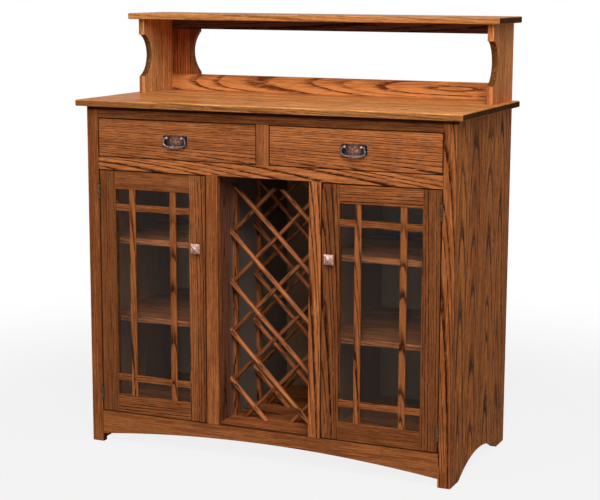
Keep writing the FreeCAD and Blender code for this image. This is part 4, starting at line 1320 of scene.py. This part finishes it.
def make_knob(side, sign):
    centre = Vector((sign * KNOB_X, DOOR_FACE_Y, KNOB_Z))

    def front(u, v):
        out = KNOB_NECK + KNOB_RIM + KNOB_CREST * pyramid_height(u, v)
        return centre + Vector((u * KNOB_HALF, -out, v * KNOB_HALF))

    def back(u, v):
        return centre + Vector((u * KNOB_HALF, -KNOB_NECK, v * KNOB_HALF))

    def wear(point):
        u = abs(point.x - centre.x) / KNOB_HALF
        v = abs(point.z - centre.z) / KNOB_HALF
        near_ridge = max(0.0, 1 - abs(u - v) * RIDGE_FADE)
        near_edge = max(0.0, max(u, v) - EDGE_START) * EDGE_FADE
        # The lower faces get less wear, a darker colour that paints the shade under the knob
        faces_down = point.z < centre.z - LOWER_FACE_SLOPE * abs(point.x - centre.x)
        plain = LOWER_FACE_SHADE_WEAR if faces_down else FACE_WEAR
        return plain + RIDGE_WEAR * max(near_ridge, near_edge)

    head = relief(KNOB_GRID, KNOB_GRID, front, back)
    curve = [(height * MM, radius * MM) for height, radius in NECK_CURVE]
    neck = turned(curve, centre, (0, -1, 0))
    name = side + "_door_knob_pyramid"
    dents = dict(KNOB_DENTS, seed=sign * 2.0, material=rubbed_copper)
    mesh = hammer(make_mesh(name, [head, neck]), is_knob_face, **dents)
    paint_wear(mesh, wear)
    smooth_curves(mesh, KNOB_SHARPNESS)
    settle(name, mesh, rubbed_copper, side + "_door", "antique_copper", side + "_door_knob")
    return len(mesh.polygons)


print("faces of the knobs:", [make_knob(side, sign) for side, sign in SIDES])


# %% [markdown]
# Bail pulls
#
# A pull is a cast backplate with bowed long edges and a raised rim, two ears, and a bent
# rod, the bail, that hangs between them. The plate could be modelled from a cube with loop
# cuts, but its rim and recess follow one rule, the distance in from the edge, so it is a grid
# of points whose thickness comes from that rule.

# %% Shape of a backplate
PULL_X = 0.283
PULL_Z = 0.94875
PLATE_HALF = 0.042
PLATE_RISE = 0.018
PLATE_BOW = 0.003
PLATE_THICKNESS = 0.002
PLATE_RECESS = 0.0007
RIM_WIDTH = 0.0016
EDGE_LOSS = 0.4


def half_height(u):
    """Half the plate's height at u, from -1 to 1 along it: its long edges are bowed."""
    return PLATE_RISE - PLATE_BOW * u * u


def plate_edge(u, v):
    """How far in from the plate's edge the point (u, v) lies, in metres."""
    return min((1 - abs(u)) * PLATE_HALF, (1 - abs(v)) * half_height(u))


def plate_thickness(inset):
    """Thickness at a distance in from the edge: eased edge, raised rim, then the recess."""
    rounded = min(1.0, inset / (0.5 * RIM_WIDTH))
    edge = 1 - EDGE_LOSS * (1 - rounded) ** 2
    sunk = min(1.0, max(0.0, (inset - RIM_WIDTH) / RIM_WIDTH))
    return PLATE_THICKNESS * edge - PLATE_RECESS * sunk * sunk * (3 - 2 * sunk)


print("a plate is", round(plate_thickness(PLATE_RISE) / MM, 2), "mm thick in its recess")

# %% Ears
EAR_X = 0.025
EAR_WIDTH = 0.006
EAR_RADIUS = 0.0042
EAR_STEPS = 32
EAR_EASING = 0.0008
EAR_RIM = 0.92
EAR_SINK = 0.001
BAIL_Y = -0.2565
BAIL_Z = 0.95675
PIN_BORE = 0.00205


def ear_outlines():
    """The outside of an ear about its pin, square at the back, and its round hole."""
    back = DOOR_FACE_Y - BAIL_Y - EAR_SINK
    outer, inner = [], []
    for step in range(EAR_STEPS):
        angle = 2 * math.pi * step / EAR_STEPS
        out, rise = math.cos(angle), math.sin(angle)
        radius = EAR_RADIUS
        if out > 0:
            radius = min(EAR_RADIUS / max(abs(rise), 0.001), back / out)
        outer.append((radius * out, radius * rise))
        inner.append((PIN_BORE * out, PIN_BORE * rise))
    return outer, inner


def ear(centre_x):
    """A rounded lug about the bail's pin, with the hole that the pin turns in."""
    outer, inner = ear_outlines()
    half = EAR_WIDTH / 2
    rings = (
        (-half, EAR_RIM, outer), (-half + EAR_EASING, 1, outer), (half - EAR_EASING, 1, outer),
        (half, EAR_RIM, outer), (half, 1, inner), (-half, 1, inner),
    )
    points, levels = [], []
    for offset, scale, outline in rings:
        levels.append(range(len(points), len(points) + EAR_STEPS))
        for out, rise in outline:
            place = (centre_x + offset, BAIL_Y + out * scale, BAIL_Z + rise * scale)
            points.append(Vector(place))
    faces = []
    for low, high in zip(levels, levels[1:] + levels[:1]):
        faces += band(low, high)
    return points, faces


print("an ear has", len(ear(0.0)[1]), "faces")

# %% Backplates
PLATE_GRID = (96, 44)
PLATE_DENTS = dict(cells=260.0, depth=0.0006)
DENT_INSET = 2.2 * RIM_WIDTH
DENT_FLOOR = 0.0003
RUBBED_RIM = 1.2 * RIM_WIDTH
EAR_FOOT = 0.0004
EAR_WEAR = 0.8
RIM_WEAR = 0.6
LEAST_WEAR = 0.04
HEART_WEAR = 0.58
HEART_FADE = 0.6
FADE_ALONG = 3.4
FADE_ACROSS = 0.6


def make_backplate(side, sign):
    centre_x = sign * PULL_X

    def at(u, v, y):
        return Vector((centre_x + u * PLATE_HALF, y, PULL_Z + v * half_height(u)))

    def front(u, v):
        return at(u, v, DOOR_FACE_Y - plate_thickness(plate_edge(u, v)))

    def back(u, v):
        return at(u, v, DOOR_FACE_Y)

    def plate_uv(point):
        u = (point.x - centre_x) / PLATE_HALF
        return u, (point.z - PULL_Z) / half_height(u)

    def wear(point):
        if point.y < DOOR_FACE_Y - PLATE_THICKNESS - EAR_FOOT:
            return EAR_WEAR
        u, v = plate_uv(point)
        rim = RIM_WEAR if plate_edge(u, v) < RUBBED_RIM else 0.0
        off_centre = abs(u) ** 3 * FADE_ALONG + v * v * FADE_ACROSS
        return max(rim, HEART_WEAR - HEART_FADE * off_centre, LEAST_WEAR)

    def dent(point):
        u, v = plate_uv(point)
        inside = plate_edge(max(-1, min(1, u)), max(-1, min(1, v))) > DENT_INSET
        out = DOOR_FACE_Y - point.y
        return float(inside and DENT_FLOOR < out < PLATE_THICKNESS)

    name = side + "_drawer_backplate"
    shapes = [relief(*PLATE_GRID, front, back), ear(centre_x - EAR_X), ear(centre_x + EAR_X)]
    dents = dict(PLATE_DENTS, seed=5.0 + sign, material=dented_copper)
    mesh = hammer(make_mesh(name, shapes), dent, **dents)
    paint_wear(mesh, wear)
    smooth_curves(mesh)
    node = side + "_drawer_pull_plate"
    settle(name, mesh, dented_copper, side + "_drawer", "antique_copper", node)
    return len(mesh.polygons)


print("faces of the backplates:", [make_backplate(side, sign) for side, sign in SIDES])


# %% [markdown]
# Bails
#
# A bail is a rod bent in a jig: its arms splay, its corners are round, and its grip is a
# shallow bow, a little thicker in the middle where the fingers go. A curve with a bevel could
# draw it, but the path is easy to work out from its angles and radii, and circles set along
# it one by one can also swell towards the grip.

# %% Path of a bail
BAIL_ARM_X = 0.0325
BAIL_SPLAY = math.radians(15)
BAIL_DROP = 0.028
BAIL_CORNER = 0.009
BAIL_GRIP_RADIUS = 0.090
BAIL_END_STEPS = (0.0022, 0.0012, 0.0)
BAIL_ARM_STEPS = (0.33, 0.66, 1.0)
BEND_STEPS = 10
BOW_STEPS = 16


def arc_points(centre, start, end, steps):
    """Points along the shorter arc about centre from start to end."""
    first, last = start - centre, end - centre
    angle = first.angle(last)
    axis = first.cross(last).normalized()
    turns = [Matrix.Rotation(angle * step / steps, 3, axis) for step in range(1, steps + 1)]
    return [centre + turn @ first for turn in turns]


def bail_path():
    """The middle line of one bail about its pin axis, from the left arm to the right one."""
    down = Vector((math.sin(BAIL_SPLAY), 0, -math.cos(BAIL_SPLAY)))
    outward = Vector((math.cos(BAIL_SPLAY), 0, math.sin(BAIL_SPLAY)))
    foot = Vector((BAIL_ARM_X, 0, 0))
    grip_centre = Vector((0, 0, BAIL_GRIP_RADIUS - BAIL_DROP))
    reach = BAIL_GRIP_RADIUS - BAIL_CORNER
    offset = foot - outward * BAIL_CORNER - grip_centre
    run = offset.dot(down)
    length = math.sqrt(run * run - offset.length_squared + reach * reach) - run
    corner = grip_centre + offset + down * length
    bend_start = corner + outward * BAIL_CORNER
    bend_end = corner + (corner - grip_centre).normalized() * BAIL_CORNER
    half = [foot - down * step for step in BAIL_END_STEPS]
    half += [foot.lerp(bend_start, share) for share in BAIL_ARM_STEPS]
    half += arc_points(corner, bend_start, bend_end, BEND_STEPS)
    half += arc_points(grip_centre, bend_end, Vector((0, 0, -BAIL_DROP)), BOW_STEPS)
    mirrored = [Vector((-point.x, 0, point.z)) for point in half[:-1]]
    return mirrored + half[::-1]


print("a bail's path has", len(bail_path()), "points")

# %% Bails
BAIL_ROD = 0.0026
BAIL_GRIP_ROD = 0.003
PIN_RADIUS = 0.002
PIN_EASING = 0.0006
PIN_PROFILE = (
    (0, PIN_RADIUS), (BAIL_ARM_X - EAR_X, PIN_RADIUS),
    (BAIL_ARM_X - EAR_X + PIN_EASING, 0.6 * PIN_RADIUS),
)


def make_bail(side, sign):
    axis_point = Vector((sign * PULL_X, BAIL_Y, BAIL_Z))
    path = [axis_point + point for point in bail_path()]
    radii = []
    for point in path:
        low = max(0.0, (BAIL_Z - point.z) / BAIL_DROP)
        radii.append(BAIL_ROD + (BAIL_GRIP_ROD - BAIL_ROD) * low * low)
    radii[0] = radii[-1] = 0.5 * BAIL_ROD
    shapes = [bent_rod(path, radii, (0, 1, 0))]
    for hand in (-1, 1):
        start = axis_point + Vector((hand * BAIL_ARM_X, 0, 0))
        shapes.append(turned(PIN_PROFILE, start, (-hand, 0, 0)))
    name = side + "_bail_handle"
    mesh = make_mesh(name, shapes)
    smooth_curves(mesh, 50)
    settle(name, mesh, handled_copper, side + "_bail", "antique_copper", side + "_drawer_bail")
    return len(mesh.polygons)


print("faces of the bails:", [make_bail(side, sign) for side, sign in SIDES])


# %% [markdown]
# Hinges
#
# Each door hangs on two butt hinges whose leaves hide in the gap. What shows is the barrel:
# three knuckles, two on the frame and one on the door, and a pin with a turned tip at each
# end. They are drawn as the real parts are made, folded leaves, rolled knuckles and a
# turned pin, with countersunk screws through each leaf that show when the door is open.

# %% Knuckles, leaves and pins
HINGE_X = 0.5448
HINGE_Y = -0.2528
HINGE_LEVELS = (0.162, 0.790)
HINGE_STACK = 0.046
KNUCKLES = 3
KNUCKLE_RADIUS = 0.0035
KNUCKLE_BORE = 0.00155
KNUCKLE_EASING = 0.0004
KNUCKLE_PLAY = 0.0003
FOLD_Y = HINGE_Y + 0.0017
LEAF_GAP = 0.0024
LEAF_THICKNESS = 0.001
LEAF_DEPTH = 0.014
PIN_TIP = ((3.4, 0), (3.3, 0.9), (2.9, 1.9), (2.2, 2.9), (1.4, 3.0), (0.5, 2.6), (0.1, 1.5))


def knuckle(centre, low, high):
    length = high - low
    shoulder = KNUCKLE_RADIUS - KNUCKLE_EASING
    ring = (
        (0, KNUCKLE_BORE), (0, shoulder), (KNUCKLE_EASING, KNUCKLE_RADIUS),
        (length - KNUCKLE_EASING, KNUCKLE_RADIUS), (length, shoulder), (length, KNUCKLE_BORE),
    )
    return turned(ring, (centre.x, centre.y, low), (0, 0, 1), sides=32, hollow=True)


def leaf_shapes(sign, level, on_frame):
    """A leaf against its board, its knuckles, and the folds that join them."""
    axis = Vector((sign * HINGE_X, HINGE_Y, level))
    toward = sign if on_frame else -sign
    seat_x = axis.x + toward * LEAF_GAP / 2
    face_x = seat_x - toward * LEAF_THICKNESS
    low_x, high_x = min(seat_x, face_x), max(seat_x, face_x)
    low_z = level - HINGE_STACK / 2
    deep_y = DOOR_FACE_Y + LEAF_DEPTH
    shapes = [block((low_x, DOOR_FACE_Y, low_z), (high_x, deep_y, low_z + HINGE_STACK))]
    step = HINGE_STACK / KNUCKLES
    for index in range(0 if on_frame else 1, KNUCKLES, 2):
        bottom = low_z + index * step + KNUCKLE_PLAY / 2
        top = bottom + step - KNUCKLE_PLAY
        shapes.append(knuckle(axis, bottom, top))
        shapes.append(block((low_x, FOLD_Y, bottom), (high_x, DOOR_FACE_Y, top)))
    return shapes


def pin_shape(sign, level):
    half = HINGE_STACK / 2
    profile = [(-half - height * MM, radius * MM) for height, radius in PIN_TIP]
    profile += [(half + height * MM, radius * MM) for height, radius in reversed(PIN_TIP)]
    return turned(profile, (sign * HINGE_X, HINGE_Y, level), (0, 0, 1), sides=28)


print("a knuckle is", round((HINGE_STACK / KNUCKLES - KNUCKLE_PLAY) / MM, 1), "mm long")

# %% Hinges
def place_hinge_part(name, shapes, body, *replaced):
    mesh = make_mesh(name, shapes)
    smooth_curves(mesh)
    settle(name, mesh, dark_bronze, body, "dark_bronze", *replaced)


frame_leaves = []
for side, sign in SIDES:
    door_leaves, pins = [], []
    for level in HINGE_LEVELS:
        frame_leaves += leaf_shapes(sign, level, True)
        door_leaves += leaf_shapes(sign, level, False)
        pins.append(pin_shape(sign, level))
    body = side + "_door"
    place_hinge_part(side + "_door_leaves", door_leaves, body, side + "_door_hinge_leaves")
    place_hinge_part(side + "_hinge_pins", pins, body)
place_hinge_part("frame_leaves", frame_leaves, "carcass", "hinge_frame_leaves")
print("hinges:", len(HINGE_LEVELS), "on each door")

# %% Hinge screws
SCREW_RADIUS = 0.0026
SCREW_LIFT = 0.00012
SCREW_SLOT = 0.0006
SCREW_RISE = 0.014
SCREW_Y = DOOR_FACE_Y + 0.0085
SCREW_TURN = 1.9


def screw_head(tree):
    """A shallow disc with a slot cut across it."""
    head = add(tree, "GeometryNodeMeshCylinder", {
        "Vertices": 20, "Radius": SCREW_RADIUS, "Depth": 2 * SCREW_LIFT,
    })
    cutter = add(tree, "GeometryNodeMeshCube", {
        "Size": (SCREW_SLOT, 2.2 * SCREW_RADIUS, 4 * SCREW_LIFT),
    })
    raised = add(tree, "GeometryNodeTransform", {
        "Geometry": cutter.outputs[0], "Translation": (0, 0, 2 * SCREW_LIFT),
    })
    return add(tree, "GeometryNodeMeshBoolean", {
        "Mesh 1": head.outputs[0], "Mesh 2": raised.outputs[0],
    }, operation="DIFFERENCE").outputs[0]


def make_screw_rule():
    """Slotted heads, two to a leaf, on every leaf of one set."""
    tree, given, result = open_nodes("Hinge screws", [
        ("Face X", "Float", 0.0),
        ("Facing", "Float", 1.0),
        ("Low Level", "Float", HINGE_LEVELS[0]),
        ("High Level", "Float", HINGE_LEVELS[1]),
    ])
    index = tree.nodes.new("GeometryNodeInputIndex").outputs[0]
    is_high = calc(tree, "GREATER_THAN", index, 1.5)
    between = calc(tree, "SUBTRACT", given["High Level"], given["Low Level"])
    level = calc(tree, "MULTIPLY_ADD", is_high, between, given["Low Level"])
    is_upper = calc(tree, "MODULO", index, 2.0)
    rise = calc(tree, "MULTIPLY_ADD", is_upper, 2 * SCREW_RISE, -SCREW_RISE)
    place = combine(tree, given["Face X"], SCREW_Y, calc(tree, "ADD", level, rise))
    dots = add(tree, "GeometryNodePoints", {"Count": 4, "Position": place})
    quarter = calc(tree, "MULTIPLY", given["Facing"], math.pi / 2)
    turn = combine(tree, y=quarter, z=calc(tree, "MULTIPLY", index, SCREW_TURN))
    heads = add(tree, "GeometryNodeInstanceOnPoints", {
        "Points": dots.outputs[0], "Instance": screw_head(tree), "Rotation": turn,
    })
    return close_nodes(tree, heads.outputs[0], given, result)


screw_rule = make_screw_rule()
for side, sign in SIDES:
    for word, toward, body in (("frame", 1, "carcass"), ("door", -1, side + "_door")):
        face_x = sign * (HINGE_X + toward * (LEAF_GAP / 2 - LEAF_THICKNESS))
        facing = float(-toward * sign)
        name = side + "_" + word + "_leaf_screws"
        mesh = grow(name, screw_rule, face_x=face_x, facing=facing, material=dark_bronze)
        settle(name, mesh, dark_bronze, body, "dark_bronze")
print("hinge screws:", len(mesh.polygons), "faces in each set of four")


# %% [markdown]
# Shelf pins
#
# Sixteen steel pins with collars carry the loose shelves. They are one small shape many times
# over, so one tree places every copy: the pin's number, read digit by digit in twos, says
# left or right, wall or divider, front or back, and which shelf.

# %% Shelf pins
WALL_X = 0.565
DIVIDER_X = 0.1745
PIN_FRONT_Y = -0.139
PIN_BACK_Y = 0.219
PIN_LEVELS = (0.373484, 0.61638)
ROD_RADIUS = 0.0024
ROD_LENGTH = 0.0172
TIP_RADIUS = 0.0017
TIP_LENGTH = 0.0006
COLLAR_RADIUS = 0.0036
COLLAR_LENGTH = 0.0008


def shelf_pin(tree):
    """A rod half sunk in the board, with a narrower tip and a collar against the board."""
    rod = add(tree, "GeometryNodeMeshCylinder", {
        "Vertices": 20, "Radius": ROD_RADIUS, "Depth": ROD_LENGTH,
    })
    tip = add(tree, "GeometryNodeMeshCone", {
        "Vertices": 20, "Radius Top": TIP_RADIUS, "Radius Bottom": ROD_RADIUS,
        "Depth": TIP_LENGTH,
    })
    tip_placed = add(tree, "GeometryNodeTransform", {
        "Geometry": tip.outputs[0], "Translation": (0, 0, ROD_LENGTH / 2),
    })
    collar = add(tree, "GeometryNodeMeshCylinder", {
        "Vertices": 24, "Radius": COLLAR_RADIUS, "Depth": COLLAR_LENGTH,
    })
    collar_placed = add(tree, "GeometryNodeTransform", {
        "Geometry": collar.outputs[0], "Translation": (0, 0, COLLAR_LENGTH / 2),
    })
    pin = tree.nodes.new("GeometryNodeJoinGeometry")
    for part in (rod, tip_placed, collar_placed):
        tree.links.new(part.outputs[0], pin.inputs[0])
    return pin.outputs[0]


def make_pin_rule():
    tree, given, result = open_nodes("Shelf pins", [("Count", "Int", 16)])
    index = tree.nodes.new("GeometryNodeInputIndex").outputs[0]

    def pick(digit, first, second):
        """One of two values, chosen by a digit of the pin's number written in twos."""
        halved = calc(tree, "FLOOR", calc(tree, "DIVIDE", index, float(2 ** digit)))
        choice = calc(tree, "MODULO", halved, 2.0)
        return calc(tree, "MULTIPLY_ADD", choice, second - first, first)

    hand = pick(0, -1.0, 1.0)
    x = calc(tree, "MULTIPLY", hand, pick(1, WALL_X, DIVIDER_X))
    inward = calc(tree, "MULTIPLY", hand, pick(1, -1.0, 1.0))
    place = combine(tree, x, pick(2, PIN_FRONT_Y, PIN_BACK_Y), pick(3, *PIN_LEVELS))
    dots = add(tree, "GeometryNodePoints", {"Count": given["Count"], "Position": place})
    turn = combine(tree, y=calc(tree, "MULTIPLY", inward, math.pi / 2))
    pins = add(tree, "GeometryNodeInstanceOnPoints", {
        "Points": dots.outputs[0], "Instance": shelf_pin(tree), "Rotation": turn,
    })
    return close_nodes(tree, pins.outputs[0], given, result)


mesh = grow("collared_shelf_pins", make_pin_rule(), count=16, material=bright_steel)
smooth_curves(mesh)
settle("collared_shelf_pins", mesh, bright_steel, "carcass", "pin_steel", "shelf_pins")
print("shelf pins:", len(mesh.polygons), "faces in all")


# %% [markdown]
# Brads
#
# A row of small nails holds the back panel along its edges, its dividers and its deck. Each
# could be put in place by hand, but a tree that draws those lines, and sets a low round head
# at every step along them, keeps the spacing even and easy to change.

# %% Brads in the back panel
BACK_FACE_Y = 0.275
BACK_HALF = 0.567
BACK_LOW = 0.089
BACK_HIGH = 1.034
DECK_LINE = 0.8805
DIVIDER_LINE = 0.165
BRAD_SIDES = 8
BRAD_RINGS = 5
BRAD_FLATNESS = 0.3


def brad_runs():
    """The lines that the brads follow, as pairs of (x, z)."""
    corners = [
        (-BACK_HALF, BACK_LOW), (BACK_HALF, BACK_LOW),
        (BACK_HALF, BACK_HIGH), (-BACK_HALF, BACK_HIGH),
    ]
    runs = list(zip(corners, corners[1:] + corners[:1]))
    runs += [((x, BACK_LOW), (x, DECK_LINE)) for x in (-DIVIDER_LINE, DIVIDER_LINE)]
    return runs + [((-BACK_HALF, DECK_LINE), (BACK_HALF, DECK_LINE))]


def make_brad_rule():
    tree, given, result = open_nodes("Back brads", [
        ("Spacing", "Float", 0.13),
        ("Radius", "Float", 0.0022),
    ])
    lines = tree.nodes.new("GeometryNodeJoinGeometry")
    for (x0, z0), (x1, z1) in brad_runs():
        line = add(tree, "GeometryNodeCurvePrimitiveLine", {
            "Start": (x0, BACK_FACE_Y, z0), "End": (x1, BACK_FACE_Y, z1),
        })
        tree.links.new(line.outputs[0], lines.inputs[0])
    dots = add(tree, "GeometryNodeCurveToPoints", {
        "Curve": lines.outputs[0], "Length": given["Spacing"],
    }, mode="LENGTH")
    ball = add(tree, "GeometryNodeMeshUVSphere", {
        "Segments": BRAD_SIDES, "Rings": BRAD_RINGS, "Radius": given["Radius"],
    })
    head = add(tree, "GeometryNodeTransform", {
        "Geometry": ball.outputs[0], "Scale": (1.0, BRAD_FLATNESS, 1.0),
    })
    brads = add(tree, "GeometryNodeInstanceOnPoints", {
        "Points": dots.outputs[0], "Instance": head.outputs[0],
    })
    return close_nodes(tree, brads.outputs[0], given, result)


mesh = grow("back_panel_brads", make_brad_rule(), material=bright_steel)
smooth_curves(mesh, 60)
settle("back_panel_brads", mesh, bright_steel, "carcass", "pin_steel")
print("brads:", len(mesh.polygons) // (BRAD_SIDES * BRAD_RINGS))


# %% [markdown]
# Door catches
#
# A magnetic catch under the deck holds each door shut: a brown moulded case with two steel
# pole plates that stand a little proud of it. It is small and shows only when a door is open,
# so blocks with their edges eased are all the shape that it needs.

# %% Door catches
CATCH_NEAR_X = 0.2064
CATCH_FAR_X = 0.2514
CATCH_FRONT_Y = -0.2297
CATCH_BACK_Y = -0.2167
CATCH_LOW = 0.8356
CATCH_HIGH = 0.871
CASE_SETBACK = 0.001
CASE_RISE = 0.003
CASE_EASING = 1.2 * MM
POLE_RISES = (0.005, 0.012)
POLE_THICKNESS = 0.0015
POLE_INSET = 0.006
POLE_END_Y = CATCH_BACK_Y - 0.002
POLE_EASING = 0.3 * MM


def moulded_plastic(name, colour):
    material, tree, shader = open_material(name)
    speckle = stretched_noise(tree, object_coordinates(tree), (900, 900, 900), detail=2.0)
    lighter = tuple(min(1.0, channel * 1.25) for channel in colour[:3]) + (1.0,)
    mixed = blend_colours(tree, remap(tree, speckle, 0.3, 0.7), colour, lighter)
    tree.links.new(mixed, shader.inputs["Base Color"])
    tree.links.new(remap(tree, speckle, 0.3, 0.7, 0.42, 0.56), shader.inputs["Roughness"])
    return material


def place_catch_part(name, blocks, material, easing, slot, *replaced):
    piece = settle(name, make_mesh(name, blocks), material, "carcass", slot, *replaced)
    ease(piece, easing)


brown_plastic = moulded_plastic("brown_plastic", srgb(78, 50, 34))
cases, poles = [], []
for side, sign in SIDES:
    near_x, far_x = sorted((sign * CATCH_NEAR_X, sign * CATCH_FAR_X))
    case_corner = (near_x, CATCH_FRONT_Y + CASE_SETBACK, CATCH_LOW + CASE_RISE)
    cases.append(block(case_corner, (far_x, CATCH_BACK_Y, CATCH_HIGH)))
    for rise in POLE_RISES:
        low = CATCH_LOW + rise
        pole_corner = (near_x + POLE_INSET, CATCH_FRONT_Y, low)
        poles.append(block(pole_corner, (far_x - POLE_INSET, POLE_END_Y, low + POLE_THICKNESS)))
place_catch_part("catch_cases", cases, brown_plastic, CASE_EASING, "catch_plastic", "door_catches")
place_catch_part("catch_poles", poles, bright_steel, POLE_EASING, "pin_steel")
print("catches:", len(cases), "cases and", len(poles), "pole plates")


# %% [markdown]
# Floor, background and light
#
# The photograph was taken in soft studio light and cut out on white. A pale floor catches
# the shadow, and the world shows white to the camera and in reflections while it lights the
# cabinet only gently. One large lamp, high in front and a little to the right, does most of
# the work and leaves a shadow under the tabletop. Two lower ones in front reach the doors,
# and a weak one far to the right keeps the end panel from going dark.

# %% Floor
WHITE = (1, 1, 1, 1)
FLOOR_GREY = (0.4, 0.4, 0.4, 1)
FLOOR_REACH = 14
NEAR_WHITE = 0.85
FADE_START = 1.0
FADE_END = 2.6


def seen_directly(tree):
    """1 for what the camera sees, straight, mirrored or through glass, and 0 for light."""
    path = add(tree, "ShaderNodeLightPath").outputs
    seen = calc(tree, "MAXIMUM", path["Is Camera Ray"], path["Is Glossy Ray"])
    return calc(tree, "MAXIMUM", seen, path["Is Transmission Ray"])


def make_floor():
    mesh = bpy.data.meshes.new("studio_floor")
    near, far = -FLOOR_REACH, FLOOR_REACH
    corners = [(near, near, 0), (far, near, 0), (far, far, 0), (near, far, 0)]
    mesh.from_pydata(corners, [], [(0, 1, 2, 3)])
    floor = bpy.data.objects.new("studio_floor", mesh)
    bpy.context.scene.collection.objects.link(floor)
    material, tree, shader = open_material("studio_floor")
    shader.inputs["Base Color"].default_value = FLOOR_GREY
    shader.inputs["Roughness"].default_value = 0.9
    shader.inputs["Specular IOR Level"].default_value = 0.1
    place = object_coordinates(tree)
    away = add(tree, "ShaderNodeVectorMath", {0: place}, operation="LENGTH").outputs["Value"]
    faded = remap(tree, away, FADE_START, FADE_END)
    whiteness = calc(tree, "MULTIPLY_ADD", faded, 1 - NEAR_WHITE, NEAR_WHITE)
    share = calc(tree, "MULTIPLY", whiteness, seen_directly(tree))
    white = add(tree, "ShaderNodeEmission", {"Color": WHITE, "Strength": 1.0})
    mixed = add(tree, "ShaderNodeMixShader", {
        0: share, 1: shader.outputs["BSDF"], 2: white.outputs[0],
    })
    output = next(entry for entry in tree.nodes if entry.type == "OUTPUT_MATERIAL")
    tree.links.new(mixed.outputs[0], output.inputs["Surface"])
    mesh.materials.append(material)


make_floor()
print("floor:", 2 * FLOOR_REACH, "m across")

# %% World and lamps
WORLD_LIGHT = 0.1
LAMPS = (
    ("key_lamp", (1.7, -3.2, 5.0), (0, -0.2, 0.7), 2.0, 175),
    ("left_lamp", (-1.8, -4.4, 3.3), (0, -0.2, 0.6), 1.2, 62),
    ("right_lamp", (2.4, -4.0, 3.2), (0, -0.2, 0.8), 1.6, 70),
    ("side_lamp", (4.8, -1.4, 2.6), (0.4, 0, 0.6), 1.8, 4),
)


def make_world(strength):
    world = bpy.data.worlds.new("studio")
    bpy.context.scene.world = world
    world.use_nodes = True
    tree = world.node_tree
    tree.nodes.clear()
    light = add(tree, "ShaderNodeBackground", {"Color": WHITE, "Strength": strength})
    white = add(tree, "ShaderNodeBackground", {"Color": WHITE, "Strength": 1.0})
    mixed = add(tree, "ShaderNodeMixShader", {
        0: seen_directly(tree), 1: light.outputs[0], 2: white.outputs[0],
    })
    output = add(tree, "ShaderNodeOutputWorld")
    tree.links.new(mixed.outputs[0], output.inputs["Surface"])


def make_lamp(name, place, target, size, power):
    """A square lamp of a size in metres and a power in watts, turned to a target."""
    data = bpy.data.lights.new(name, "AREA")
    data.shape = "SQUARE"
    data.size = size
    data.energy = power
    lamp = bpy.data.objects.new(name, data)
    lamp.location = place
    lamp.rotation_euler = (Vector(target) - Vector(place)).to_track_quat("-Z", "Y").to_euler()
    bpy.context.scene.collection.objects.link(lamp)


make_world(WORLD_LIGHT)
for lamp_values in LAMPS:
    make_lamp(*lamp_values)
bpy.context.scene.view_settings.view_transform = "Standard"
print("lamps:", len(LAMPS))
